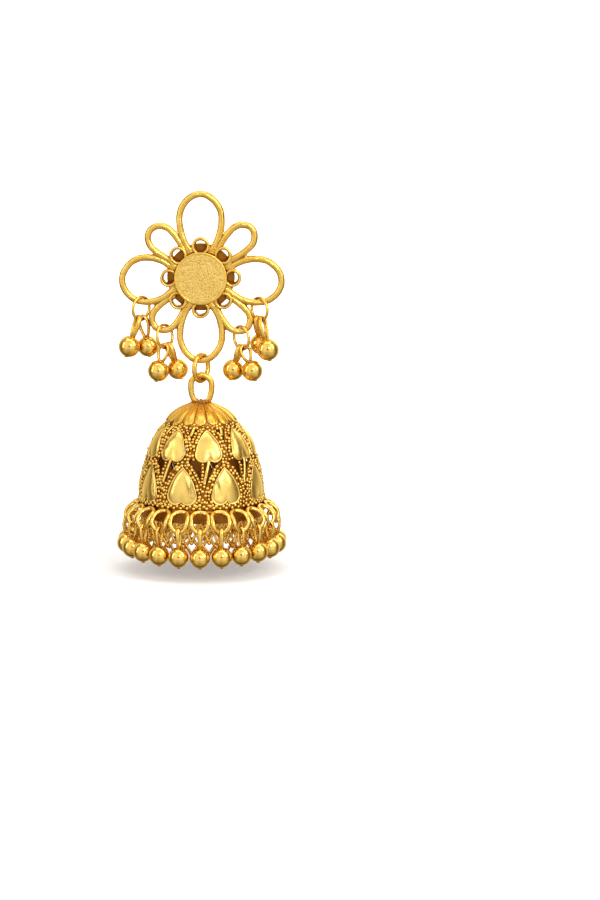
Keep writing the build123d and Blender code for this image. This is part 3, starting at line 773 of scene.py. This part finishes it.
# ------------------------------------------------------------------ lattice of granules between the hearts
def inside_any(theta, s, grow=1.0, skip=None):
    """Which of these places lie under a heart."""
    hit = np.zeros(len(theta), bool)
    for k, hh in enumerate(HEARTS):
        if k == skip:
            continue
        d = (theta - hh["angle"] + pi) % (2 * pi) - pi
        a, b = d * r_of_s(s), hh["s"] - s
        near = (np.abs(a) < hh["w"] * 1.2) & (np.abs(b) < hh["h"] * 1.2)
        idx = np.nonzero(near)[0]
        if not len(idx):
            continue
        poly = hh["line"] * grow
        x, y = a[idx][:, None], b[idx][:, None]
        x0, y0 = poly[:, 0][None], poly[:, 1][None]
        x1, y1 = np.roll(poly[:, 0], -1)[None], np.roll(poly[:, 1], -1)[None]
        cross = ((y0 > y) != (y1 > y)) & (x < (x1 - x0) * (y - y0) / (y1 - y0 + 1e-12) + x0)
        hit[idx] |= cross.sum(1) % 2 == 1
    return hit


def offset_line(line, d):
    t = unit(np.roll(line, -1, 0) - np.roll(line, 1, 0))
    n = np.stack([-t[:, 1], t[:, 0]], 1)
    out = line + n * d
    if np.abs(out).sum() < np.abs(line).sum():
        out = line - n * d
    return out


PITCH = 0.55
placed = []          # (theta, s, radius, lift)
wires = []           # lines of (theta, s) that carry the granules


def lay_row(theta, s, size=0.275, lift=-0.12, avoid=1.03, carry=True, jitter=0.075):
    """Granules every PITCH along this line, left out where a heart is."""
    p, _ = wall(theta, s, np.zeros(len(theta)))
    d = np.concatenate([[0], np.cumsum(np.linalg.norm(np.diff(p, axis=0), axis=1))])
    m = max(2, int(d[-1] / PITCH) + 1)
    at = np.linspace(0, d[-1], m)
    th, ss = np.interp(at, d, theta), np.interp(at, d, s)
    ok = ~inside_any(th, ss, avoid)
    ok &= (ss < S_HEM) & (ss > S_CAP)
    th, ss = th[ok], ss[ok]
    if len(th) == 0:
        return
    ss = ss + rng.normal(size=len(ss)) * jitter
    th = th + rng.normal(size=len(th)) * jitter / r_of_s(ss)
    for a, b in zip(th, ss):
        placed.append((a, b, size * rng.uniform(0.76, 1.22), lift + rng.normal() * 0.065))
    if carry:
        wires.append((theta, s))


S_CAP, S_HEM = float(s_of_z(-22.6)), float(s_of_z(-35.25))
for k, hh in enumerate(HEARTS):
    n = len(hh["line"])
    for d in (0.34, 0.86):
        out = offset_line(hh["line"], d)
        out = resample(out, 200, closed=True)
        if hh["row"] == 0:
            keep = out[:, 1] > -0.80 * hh["h"]
        else:
            keep = out[:, 1] > -0.98 * hh["h"]
        # from the notch round to the notch, tip in the middle
        start = int(np.argmin(out[:, 1] + 10 * np.abs(out[:, 0])))
        out, keep = np.roll(out, -start, 0), np.roll(keep, -start, 0)
        out = out[keep]
        b = out[:, 1]
        s = hh["s"] - b
        th = hh["angle"] + out[:, 0] / r_of_s(np.clip(s, 0.5, prof_s[-1]))
        lay_row(th, s, size=0.28 if d < 0.5 else 0.265)


def next_angle(angles, a, step):
    """The neighbour of angle a in the other row, on the side of step."""
    d = [(b - a + pi) % (2 * pi) - pi for b in angles]
    d = [x for x in d if x * step > 0]
    return a + min(d, key=abs)


upper = [radians(a) for a in UPPER_HEARTS]
lower = [radians(a) for a in LOWER_HEARTS]
strips = []
for a in upper:
    # a plain strip from each upper heart's notch down to the hem's row, between two lower hearts
    right, left = next_angle(lower, a, 1), next_angle(lower, a, -1)
    foot = (right + left) / 2
    s0, s1 = float(s_of_z(-28.0)), float(s_of_z(-31.6))
    tt = np.linspace(0, 1, 20)
    strips.append((a + (foot - a) * tt, s0 + (s1 - s0) * tt))
    # and a granule row that runs on down to the hem
    s2 = float(s_of_z(-35.1))
    lay_row(foot + 0 * tt, s1 + (s2 - s1) * tt, lift=-0.06)
for a in lower:
    # above each lower heart's tip a row runs up between two upper hearts to the cap
    right, left = next_angle(upper, a, 1), next_angle(upper, a, -1)
    mid = (right + left) / 2
    tt = np.linspace(0, 1, 30)
    s0, s1 = float(s_of_z(-29.3)), float(s_of_z(-26.6))
    lay_row(a + (mid - a) * np.minimum(1, tt * 1.5), s0 + (s1 - s0) * tt, lift=-0.2, size=0.25)
    # and one more lies across the small window under the cap
    s0, s1 = float(s_of_z(-24.4)), float(s_of_z(-23.2))
    strips.append((mid + 0.35 / 7 * (tt - 0.5) + 0 * tt, s0 + (s1 - s0) * tt))
# the double row that follows the cap's scallops
tt = np.linspace(0, 2 * pi, 1400)
for shift, size in ((0.36, 0.29), (0.86, 0.27)):
    s_tip = float(s_of_z(-22.75)) + shift
    scallop = 0.30 * np.abs(np.cos(8 * tt))
    lay_row(tt, s_tip + scallop - 0.30, size=size, avoid=0.96)
# a plain row along the foot of the wall
lay_row(tt, np.full(len(tt), float(s_of_z(-34.85))), size=0.26, avoid=0.99, lift=-0.12)
# a fine beaded wire crosses each window, from the upper heart's left lobe to the foot of its strip
for a in upper:
    right, left = next_angle(lower, a, 1), next_angle(lower, a, -1)
    tt = np.linspace(0, 1, 24)
    s0, s1 = float(s_of_z(-28.1)), float(s_of_z(-31.3))
    r0 = float(r_of_s(s0))
    start, foot = a - 1.0 / r0, (right + left) / 2 - 0.28 / r0
    lay_row(start + (foot - start) * tt, s0 + (s1 - s0) * tt, size=0.22, avoid=1.0, lift=-0.1, jitter=0.04)


def thin_out(items, gap):
    """Leaves out granules that would sit in one another."""
    kept, pos = [], []
    cell = {}
    for th, s, r, lift in items:
        p = wall(th, s, lift)[0]
        key = tuple((p // gap).astype(int))
        bad = False
        for dx in (-1, 0, 1):
            for dy in (-1, 0, 1):
                for dz in (-1, 0, 1):
                    for q in cell.get((key[0] + dx, key[1] + dy, key[2] + dz), ()):
                        if np.linalg.norm(q - p) < gap:
                            bad = True
        if not bad:
            kept.append((th, s, r, lift))
            cell.setdefault(key, []).append(p)
    return kept


placed = thin_out(placed, 0.42)
arr = np.array(placed)
centres, normals = wall(arr[:, 0], arr[:, 1], arr[:, 3])
grain_bag = Bag()
grains(grain_bag, centres, arr[:, 2], normals)

carrier = Bag()
for th, s in wires:
    p, n = wall(th, s, np.full(len(th), -0.24))
    ok = ~inside_any(th, s, 0.93) & (s < S_HEM + 0.2) & (s > S_CAP - 0.2)
    # runs of the line that aren't under a heart
    start = None
    for i in range(len(th) + 1):
        if i < len(th) and ok[i]:
            start = i if start is None else start
        elif start is not None:
            run = slice(start, i)
            length = np.linalg.norm(np.diff(p[run], axis=0), axis=1).sum() if i - start > 1 else 0
            if length > 0.5:
                m = max(3, int(length / 0.35))
                line = resample(p[run], m)
                nn = unit(resample(n[run], m))
                # the carrier wire takes the darker gold and painted shade, for the shade in the gaps between the
                # granules
                v, f = tube(line, (0.10, 0.27), nn, closed=False, seg=8, round_ends=False)
                carrier.add(v, f, cav=0.45, mat=1)
            start = None
for th, s in strips:
    p, n = wall(th, s, np.linspace(0.0, -0.06, len(th)))
    v, f = tube(p, (0.13, 0.24), n, closed=False, seg=10, round_ends=False, rough=0.02, seed=9)
    carrier.add(v, f, cav=0.0)


def band(s0, s1, lift0, lift1, thick, n=180, rows=2, cav=0.0, wave=None):
    """A plain ring of the wall between two lengths, as a closed solid."""
    th = np.linspace(0, 2 * pi, n, endpoint=False)
    sec = [(s0, lift0), (s1, lift1), (s1, lift1 - thick), (s0, lift0 - thick)]
    v = np.vstack([wall(th, np.full(n, a), np.full(n, b))[0] for a, b in sec])
    return v, [grid_faces(4, n, wrap_r=True)]


# the ground that the rows under the cap and above the hem are soldered to, in the darker gold with painted shade, for
# the shade between the granules
v, f = band(float(s_of_z(-22.2)), float(s_of_z(-23.25)), -0.06, -0.06, 0.3)
carrier.add(v, [q[:, ::-1] for q in f], cav=0.45, mat=1)
v, f = band(float(s_of_z(-34.75)), float(s_of_z(-35.4)), -0.16, -0.16, 0.25)
carrier.add(v, [q[:, ::-1] for q in f], cav=0.45, mat=1)

hearts.piece("bell_hearts", [m_heart], "bell", "gold_openwork", ["bell_dome"])
grain_bag.piece("bell_granules", [m_grain], "bell", "gold_openwork")
carrier.piece("bell_lattice_wires", [m_grain, m_gap_shade], "bell", "gold_openwork")

# ------------------------------------------------------------------ cap with its sixteen flutes, collar and eye
cap = Bag()
S_TIP = float(s_of_z(-23.0))
S_START = 0.15
for k in range(16):
    g = np.random.default_rng(300 + k)
    mid_a = radians(22.5 * k)
    nu, nv = 17, 30
    u = np.linspace(-1, 1, nu)
    vv = np.linspace(0, 1, nv)
    U, W = np.meshgrid(u, vv)
    s_end = S_TIP + g.uniform(-0.08, 0.08)
    # the tip is a half round
    tip_len = 1.15
    half = radians(11.25) * 0.985
    S = S_START + (s_end - S_START) * W
    left = np.clip((s_end - S) / tip_len, 0, 1)
    width = np.sqrt(np.clip(1 - (1 - left) ** 2, 0, 1))
    TH = mid_a + U * half * width
    ridge = 0.09 + 0.20 * (W**0.7)
    lift = 0.06 + ridge * np.sqrt(np.clip(1 - U**2 * 0.96, 0, 1)) * np.where(left < 1, 0.35 + 0.65 * width, 1)
    lift = lift + 0.022 * np.sin(U * 7 + g.uniform(0, 6)) * W - 0.10 * np.exp(-((U * 1.0) / 0.16) ** 2) * 0.25 * (1 - W)
    top, _ = wall(TH.ravel(), S.ravel(), lift.ravel())
    low, _ = wall(TH.ravel(), S.ravel(), np.full(TH.size, -0.25))
    f_top = grid_faces(nv, nu, wrap_c=False)
    f_low = f_top[:, ::-1] + nu * nv
    ring = np.concatenate([np.arange(nu), np.arange(1, nv) * nu + nu - 1, (nv - 1) * nu + np.arange(nu - 2, -1, -1),
                           np.arange(nv - 2, 0, -1) * nu])
    nxt = np.roll(ring, -1)
    wall_f = np.stack([nxt, ring, ring + nu * nv, nxt + nu * nv], 1)
    # painted shade along each flute's edges and at its top by the collar, and on the flutes' undersides
    flute_shade = np.clip(np.abs(U) ** 6, 0, 1) * 0.5 + 0.35 * np.clip(1 - W * 3.5, 0, 1)
    cap.add(np.vstack([top, low]), [f_top, f_low, wall_f],
            cav=np.concatenate([flute_shade.ravel(), np.full(nu * nv, 0.8)]))
# the shell under the flutes, in painted shade
th = np.linspace(0, 2 * pi, 128, endpoint=False)
ss = np.linspace(0.02, float(s_of_z(-22.9)), 14)
outer = np.vstack([wall(th, np.full(128, s), np.full(128, 0.02))[0] for s in ss])
inner = np.vstack([wall(th, np.full(128, s), np.full(128, -0.45))[0] for s in ss[::-1]])
cap.add(np.vstack([outer, inner]), [grid_faces(28, 128, wrap_r=True)[:, ::-1][:, ::-1]], cav=0.7)
# jagged collar, in deep painted shade, as are the granules round it
prof = [(0, -20.6), (1.5, -20.42), (1.55, -20.15), (1.46, -19.9), (1.30, -19.76), (0.95, -19.72), (0.5, -19.76), (0, -19.8)]
v, f = lathe(prof, (0, MID_Y, 0), (0, 0, 1), (1, 0, 0), 64, closed=False)
v = v + unit(v - V(0, MID_Y, -20.3)) * (0.05 * lumps(v, 5.0, 31))[:, None]
cap.add(v, f, cav=0.9)
g = np.random.default_rng(12)
for k in range(15):
    a = 2 * pi * k / 15 + g.uniform(-0.1, 0.1)
    v, f = ball((1.42 * cos(a), MID_Y + 1.42 * sin(a), -19.86 + g.uniform(-0.08, 0.06)), g.uniform(0.17, 0.27), 12, 8)
    cap.add(v, f, cav=g.uniform(0.55, 0.9))
# eye: a thick horseshoe
top_c = V(0, MID_Y, -17.29)
horse = arc((0, -17.29), EYE_HALF, 0, 180, 40)
leg = smooth_line([(EYE_HALF, -17.29), (1.62, -18.2), (1.40, -19.1), (1.10, -19.8), (0.92, -20.35)], 16)
line = np.vstack([leg[::-1], horse[1:], (leg * (-1, 1))[1:]])
line = resample(line, 80)
path = np.stack([line[:, 0], np.full(len(line), MID_Y), line[:, 1]], 1)
width = np.interp(np.linspace(0, 1, 80), [0, 0.12, 0.25, 0.75, 0.88, 1], [0.44, 0.48, 0.49, 0.49, 0.48, 0.44])
v, f = tube(path, np.stack([width, width], 1), (0, 1, 0), closed=False, seg=22, round_ends=False, rough=0.02, seed=14)
cap.add(v, f, cav=np.zeros(len(v)))
cap.piece("bell_cap_flutes", [m_cap], "bell", "gold_openwork", ["bell_cap"])

# ------------------------------------------------------------------ hem: band, zigzag of granules and loops
hem = Bag()
prof = [(9.52, -35.2), (9.86, -35.2), (9.92, -35.3), (9.92, -35.6), (9.86, -35.75), (9.86, -36.05), (9.9, -36.12),
        (9.9, -36.3), (9.86, -36.4), (9.86, -37.9), (9.8, -38.0), (9.6, -38.0), (9.52, -37.9)]
v, f = lathe(prof, (0, MID_Y, 0), (0, 0, 1), (1, 0, 0), 160)
# the band is in deep painted shade, seen under the zigzag and through the loops
hem.add(v, f, cav=0.86)
g = np.random.default_rng(44)
zig, sizes, norm = [], [], []
count = 118
for k in range(count):
    a = 2 * pi * (k + g.uniform(-0.12, 0.12)) / count
    z = -35.33 + 0.16 * (1 if k % 2 else -1) + g.uniform(-0.05, 0.05)
    zig.append((9.98 * sin(a), MID_Y - 9.98 * cos(a), z))
    sizes.append(g.uniform(0.25, 0.33))
    norm.append((sin(a), -cos(a), 0.1))
grains(hem, zig, sizes, norm, cav=0.0)
drop_down, drop_out = LOOP_TOP_Z - LOOP_FOOT_Z, LOOP_FOOT_R - LOOP_TOP_R
length = sqrt(drop_down**2 + drop_out**2)
straight = length / 2 - LOOP_HALF


def outward(deg):
    a = radians(deg)
    return V(sin(a), -cos(a), 0), V(cos(a), sin(a), 0)


for k in range(LOOPS):
    g = np.random.default_rng(500 + k)
    out, along = outward(k * 360 / LOOPS)
    up_loop = (V(0, 0, 1) * drop_down - out * drop_out) / length
    middle = V(0, MID_Y, (LOOP_TOP_Z + LOOP_FOOT_Z) / 2) + out * ((LOOP_TOP_R + LOOP_FOOT_R) / 2)
    line = np.vstack([arc((0, straight), LOOP_HALF, 0, 180, 30), arc((0, -straight), LOOP_HALF, 180, 360, 30)])
    line = resample(line, 56, closed=True)
    line[:, 0] *= 1.05 + g.uniform(-0.025, 0.025)
    along_up = line[:, 1] / (straight + LOOP_HALF)
    bulge = (0.80 * (1 - along_up**2) * (1 - 0.35 * along_up))[:, None]
    swell = unit(out * drop_down + V(0, 0, 1) * drop_out)
    path = middle + line[:, :1] * along + line[:, 1:] * up_loop + swell * bulge
    across = np.cross(along, up_loop)
    w = 0.335 + wobble(56, 0.014, (2, 3, 5), 600 + k)
    v, f = tube(path, np.stack([np.full(56, 0.26), w], 1), across, seg=14, rough=0.012, seed=k)
    hem.add(v, f)
    # solder at the top, where the loop meets the band, with a little painted shade
    for side in (-0.45, 0.45):
        c = middle + up_loop * (straight + LOOP_HALF * 0.86) + along * side - out * 0.05
        v, f = ball(c, 0.27, 12, 8)
        hem.add(v, f, cav=0.2)
# a lace of crossed strips hangs from the band inside the loops; each strip and bead takes a little painted shade, the
# amount drawn at random
LACE = 44
g = np.random.default_rng(71)
for k in range(LACE):
    for tier, (z0, z1) in enumerate(((-37.8, -39.45), (-39.45, -41.05))):
        for turn_to in (-0.5, 0.5):
            a0 = 2 * pi * (k + 0.5 * tier) / LACE
            aa = a0 + 2 * pi * turn_to / LACE * np.linspace(0, 1, 9)
            zz = np.linspace(z0, z1, 9)
            rr = 9.70 + g.uniform(-0.03, 0.03) + 0.05 * turn_to
            path = np.stack([rr * np.sin(aa), MID_Y - rr * np.cos(aa), zz], 1)
            nn = np.stack([np.sin(aa), -np.cos(aa), 0 * aa], 1)
            v, f = tube(path, (0.10, 0.215), nn, closed=False, seg=8, round_ends=False)
            hem.add(v, f, cav=g.uniform(0.0, 0.28))
        a1 = 2 * pi * (k + 0.5 * tier + 0.5) / LACE
        v, f = ball((9.76 * sin(a1), MID_Y - 9.76 * cos(a1), z1), g.uniform(0.26, 0.33), 14, 9)
        hem.add(v, f, cav=g.uniform(0.0, 0.3))
for k in range(LOOPS):
    for turn_to in (-0.5, 0.5):
        for start, z0, z1 in ((0.0, -41.0, -43.0), (0.5, -40.2, -42.1)):
            aa = 2 * pi * (k + start + turn_to * np.linspace(0, 1, 11)) / LOOPS
            zz = np.linspace(z0, z1, 11)
            rr = 9.45 + g.uniform(-0.03, 0.03) + 0.06 * turn_to
            path = np.stack([rr * np.sin(aa), MID_Y - rr * np.cos(aa), zz], 1)
            nn = np.stack([np.sin(aa), -np.cos(aa), 0 * aa], 1)
            v, f = tube(path, (0.10, 0.27), nn, closed=False, seg=8, round_ends=False)
            hem.add(v, f, cav=g.uniform(0.05, 0.32))
    a1 = 2 * pi * (k + 0.5) / LOOPS
    v, f = ball((9.5 * sin(a1), MID_Y - 9.5 * cos(a1), -43.0), 0.32, 14, 9)
    hem.add(v, f, cav=0.1)
hem.piece("hem_band_and_loops", [m_grain], "bell", "gold_openwork", ["rim_band"])


# ------------------------------------------------------------------ drops
def teardrop(height, half, n=48):
    """Closed line, pointed at the foot (0, 0) and round at the top (0, height)."""
    t = np.linspace(0, 2 * pi, n * 4, endpoint=False) + 1e-4
    x = np.sin(t) * np.abs(np.sin(t / 2)) ** 0.75
    y = (1 - np.cos(t)) / 2
    x = x / np.abs(x).max() * half
    return resample(np.stack([x, y * height], 1), n, closed=True)


def drop(bag, bears_on, up, across, eye_h, eye_w, wire, ball_r, seed, ribbon=1.0, fuller=0.07):
    up, across = unit(V(*up)), unit(V(*across))
    square = np.cross(across, up)
    half = eye_w / 2 - wire
    foot = wire - (eye_h - 2 * wire)
    height = wire - foot
    line = teardrop(height + 0.28, half)
    line[:, 1] += foot - 0.28
    path = bears_on + line[:, :1] * across + line[:, 1:] * up
    thin = np.interp(line[:, 1], [foot, wire], [0.95, 1.0])
    v, f = tube(path, np.stack([wire * thin * 1.12 * ribbon, wire * thin * 0.9], 1), square, seg=12, rough=0.01, seed=seed)
    # painted shade on the lower end of the eye, where it meets the ball
    bag.add(v, f, cav=np.clip((foot + 0.75 - (v - bears_on) @ up) / 0.9, 0, 0.5))
    centre = bears_on + up * (2 * wire - eye_h - ball_r + 0.3)
    v, f = ball(centre, ball_r + fuller, 44, 28, up=up, uneven=0.0035, seed=seed)
    bag.add(v, f, mat=1)
    top = centre + up * (ball_r - 0.02)
    # solder bead round the foot of the eye, in a little painted shade
    g = np.random.default_rng(900 + seed)
    for s in (-1, 0, 1):
        c = top + across * s * 0.26 + square * g.uniform(-0.08, 0.08) + up * (0.02 + g.uniform(-0.03, 0.03))
        v, f = ball(c, g.uniform(0.2, 0.27), 12, 8)
        bag.add(v, f, cav=0.35, mat=2)
    # nub under the ball
    v, f = lathe([(0, -0.26), (0.16, -0.25), (0.28, -0.19), (0.35, -0.08), (0.40, 0.06), (0.5, 0.14), (0, 0.2)],
                 centre - up * ball_r, up, across, 20, closed=False)
    bag.add(v, f, mat=1)
    return centre


for k in range(LOOPS):
    bag = Bag()
    out, along = outward(k * 360 / LOOPS)
    bears_on = V(0, MID_Y, LOOP_FOOT_Z + LOOP_WIRE + HANG_GAP) + out * LOOP_FOOT_R
    t = radians(FRINGE_TWIST[k])
    reach = FRINGE_EYE_H - 0.40 + 0.58 * abs(cos(2 * pi * k / LOOPS)) ** 1.5
    drop(bag, bears_on, (0, 0, 1), out * cos(t) + along * sin(t), reach, FRINGE_EYE_W, FRINGE_WIRE, FRINGE_BALL, k, ribbon=1.35)
    bag.piece(f"fringe_ball_drop_{k + 1:02d}", [m_grain, m_ball, m_solder], "bell", "gold_ball", [f"fringe_drop_{k + 1:02d}"])

for c in CLUSTERS:
    lean, turn = radians(c["lean"]), radians(c["turn"])
    down = V(sin(lean), 0, -cos(lean))
    cross = V(cos(lean), 0, sin(lean)) * cos(turn) + V(0, 1, 0) * sin(turn)
    middle = V(c["x"], MID_Y, c["z"]) + down * (CLUSTER_RING_R - CLUSTER_RING_WIRE - PETAL_WIRE - HANG_GAP)
    bag = Bag()
    v, f = tube(circle(middle, CLUSTER_RING_R, cross, down, 72), (0.25, 0.25), np.cross(cross, down), seg=14, rough=0.015,
                seed=ord(c["name"][0]))
    bag.add(v, f)
    bag.piece(f"cluster_jump_ring_{c['name']}", [m_wire], "flower", "gold_wire", [f"cluster_ring_{c['name']}"])
    for n, d in enumerate(c["drops"], 1):
        a = d["along"] / CLUSTER_RING_R
        wire_at = middle + (down * cos(a) + cross * sin(a)) * CLUSTER_RING_R
        side, front, twist = radians(d["side"]), radians(d["front"]), radians(d["twist"])
        fall = unit(V(sin(side), -sin(front), -cos(side) * cos(front)))
        ring_dir = unit(cross * cos(a) - down * sin(a))
        normal = unit(ring_dir - fall * ring_dir.dot(fall))
        across = unit(np.cross(fall, normal))
        across = across * cos(twist) + normal * sin(twist)
        bag = Bag()
        drop(bag, wire_at - fall * (CLUSTER_RING_WIRE + HANG_GAP), -fall, across, d["eye"], CLUSTER_EYE_W, CLUSTER_WIRE,
             d["ball"], 40 + n + 7 * ord(c["name"][0]) + len(c["name"]), ribbon=1.35, fuller=0.11)
        bag.piece(f"cluster_ball_drop_{c['name']}{n}", [m_wire, m_ball, m_solder], "flower", "gold_ball",
                  [f"cluster_drop_{c['name']}{n}"])

# ------------------------------------------------------------------ stage, lights and camera
FLOOR_Z = -0.04692


def plain(name, colour, rough, glow=0.0):
    k = Nodes(name)
    p = k.new("ShaderNodeBsdfPrincipled")
    p.inputs["Base Color"].default_value = (*colour, 1)
    p.inputs["Roughness"].default_value = rough
    p.inputs["Specular IOR Level"].default_value = 0.15
    p.inputs["Emission Color"].default_value = (1, 1, 1, 1)
    p.inputs["Emission Strength"].default_value = glow
    out = k.new("ShaderNodeOutputMaterial")
    k.link(p.outputs["BSDF"], out.inputs["Surface"])
    return k.mat


m_floor = plain("paper", (0.74, 0.74, 0.75), 0.8, 0.10)
kf = Nodes.__new__(Nodes)
kf.mat, kf.nt = m_floor, m_floor.node_tree
fco = kf.new("ShaderNodeTexCoord").outputs["Object"]
fl = kf.new("ShaderNodeVectorMath", operation="LENGTH")
kf.link(fco, fl.inputs[0])
kf.link(kf.span(fl.outputs["Value"], 0.03, 0.15, 0.14, 1.0), kf.nt.nodes["Principled BSDF"].inputs["Emission Strength"])
m_wall = plain("paper_far", (0.8, 0.8, 0.8), 0.8, 1.0)
seg = 96


def sweep(name, prof, mat):
    pr = np.array(prof, float)
    ang = np.linspace(0, 2 * pi, seg, endpoint=False)
    v = np.stack([pr[:, 0, None] * np.cos(ang), pr[:, 0, None] * np.sin(ang), np.broadcast_to(pr[:, 1, None], (len(pr), seg))], -1)
    bag = Bag()
    v = v.reshape(-1, 3) + V(0, 0, FLOOR_Z * 1000)
    bag.add(v, [grid_faces(len(pr), seg)])
    ob = bpy.data.objects.new(name, bag.mesh(name, [mat]))
    bpy.context.scene.collection.objects.link(ob)
    return ob


floor = sweep("paper_floor", [(0.001, 0), (60, 0), (140, 0), (300, 0), (500, 0)], m_floor)
far = sweep("paper_wall", [(500, 0)] + [(500 + 200 * sin(radians(a)), 200 - 200 * cos(radians(a))) for a in range(6, 91, 6)]
            + [(700, 420), (700, 700)], m_wall)
far.visible_glossy = far.visible_shadow = far.visible_diffuse = floor.visible_glossy = False


def lamp(name, at, aim, size, power, colour=(1, 1, 1), spread=180):
    d = bpy.data.lights.new(name, "AREA")
    d.shape = "RECTANGLE"
    d.size, d.size_y = size
    d.energy = power
    d.color = colour
    d.spread = radians(spread)
    o = bpy.data.objects.new(name, d)
    bpy.context.scene.collection.objects.link(o)
    o.location = at
    from mathutils import Vector
    o.rotation_euler = (Vector(aim) - Vector(at)).to_track_quat("-Z", "Y").to_euler()
    o.visible_camera = False
    return o


AIM = (0.0, -0.001, -0.022)
lamp("key", (0.105, -0.30, 0.115), AIM, (0.075, 0.075), 0.16)
lamp("side", (0.30, -0.16, 0.20), AIM, (0.12, 0.30), 0.35)
lamp("fill", (-0.36, -0.14, 0.10), AIM, (0.10, 0.34), 0.22)
lamp("top", (0.0, 0.02, 0.42), AIM, (0.40, 0.30), 0.55)
lamp("back", (0.14, 0.38, 0.14), AIM, (0.3, 0.2), 0.25)

world = bpy.data.worlds.new("studio")
bpy.context.scene.world = world
world.use_nodes = True
wn = world.node_tree
bg = wn.nodes["Background"]
wco = wn.nodes.new("ShaderNodeTexCoord").outputs["Generated"]
sep = wn.nodes.new("ShaderNodeSeparateXYZ")
wn.links.new(wco, sep.inputs[0])


def stops(x, pairs, lo=-1.0, hi=1.0):
    m = wn.nodes.new("ShaderNodeMapRange")
    m.inputs["From Min"].default_value, m.inputs["From Max"].default_value = lo, hi
    wn.links.new(x, m.inputs["Value"])
    r = wn.nodes.new("ShaderNodeValToRGB")
    r.color_ramp.interpolation = "EASE"
    el = r.color_ramp.elements
    while len(el) < len(pairs):
        el.new(0.5)
    for e, (at, val) in zip(el, pairs):
        e.position = at
        e.color = (val, val, val, 1)
    wn.links.new(m.outputs["Result"], r.inputs["Fac"])
    return r.outputs["Color"]


def times(a, b):
    m = wn.nodes.new("ShaderNodeMath")
    m.operation = "MULTIPLY"
    wn.links.new(a, m.inputs[0])
    wn.links.new(b, m.inputs[1])
    return m.outputs[0]


high = stops(sep.outputs["Z"], [(0.0, 0.36), (0.28, 0.68), (0.44, 1.02), (0.56, 1.06), (0.66, 1.04), (0.78, 1.18), (1.0, 0.92)])
wide = stops(sep.outputs["X"], [(0.0, 0.45), (0.12, 0.88), (0.28, 1.12), (0.40, 0.88), (0.52, 1.0), (0.63, 1.12), (0.84, 1.15), (0.94, 0.74), (1.0, 0.40)])
deep = stops(sep.outputs["Y"], [(0.0, 0.95), (0.15, 1.0), (0.35, 1.0), (0.48, 0.70), (0.58, 0.28), (0.74, 0.70), (1.0, 0.9)])
high = times(high, deep)
level = times(high, wide)
wn.links.new(level, bg.inputs["Strength"])
warm = wn.nodes.new("ShaderNodeMapRange")
warm.inputs["From Min"].default_value, warm.inputs["From Max"].default_value = 0.10, 0.65
wn.links.new(level, warm.inputs["Value"])
tint = wn.nodes.new("ShaderNodeMix")
tint.data_type = "RGBA"
tint.inputs["A"].default_value = (1.0, 0.74, 0.44, 1)
tint.inputs["B"].default_value = (1.0, 0.985, 0.96, 1)
wn.links.new(warm.outputs["Result"], tint.inputs["Factor"])
wn.links.new(tint.outputs["Result"], bg.inputs["Color"])


def card(name, at, aim, size):
    """A dark card for the metal to reflect; the camera doesn't see it."""
    me = bpy.data.meshes.new(name)
    w, h = size[0] / 2, size[1] / 2
    n = 24
    pts = [(w * cos(2 * pi * q / n), h * sin(2 * pi * q / n), 0) for q in range(n)]
    me.from_pydata(pts, [], [list(range(n))])
    k = Nodes(name)
    d = k.new("ShaderNodeBsdfDiffuse")
    d.inputs["Color"].default_value = (0.01, 0.01, 0.01, 1)
    k.link(d.outputs["BSDF"], k.new("ShaderNodeOutputMaterial").inputs["Surface"])
    me.materials.append(k.mat)
    o = bpy.data.objects.new(name, me)
    bpy.context.scene.collection.objects.link(o)
    from mathutils import Vector
    o.location = at
    o.rotation_euler = (Vector(aim) - Vector(at)).to_track_quat("-Z", "Y").to_euler()
    o.visible_camera = False
    o.visible_shadow = False
    o.visible_diffuse = False
    return o


card("lens_card", (0.010, -0.335, 0.033), AIM, (0.096, 0.096))

cam_data = bpy.data.cameras.new("camera")
cam = bpy.data.objects.new("camera", cam_data)
bpy.context.scene.collection.objects.link(cam)
cam_data.lens = 150
cam_data.sensor_width = 36
cam_data.clip_start = 0.01
cam_data.clip_end = 10
ELEV = radians(9.5)
look = np.array([0.01575, MID_Y * MM, -0.02775])
dist = 0.6
cam.location = look + dist * np.array([0, -cos(ELEV), sin(ELEV)])
cam.rotation_euler = (pi / 2 - ELEV, 0, 0)
bpy.context.scene.camera = cam
bpy.context.scene.view_settings.view_transform = "Standard"

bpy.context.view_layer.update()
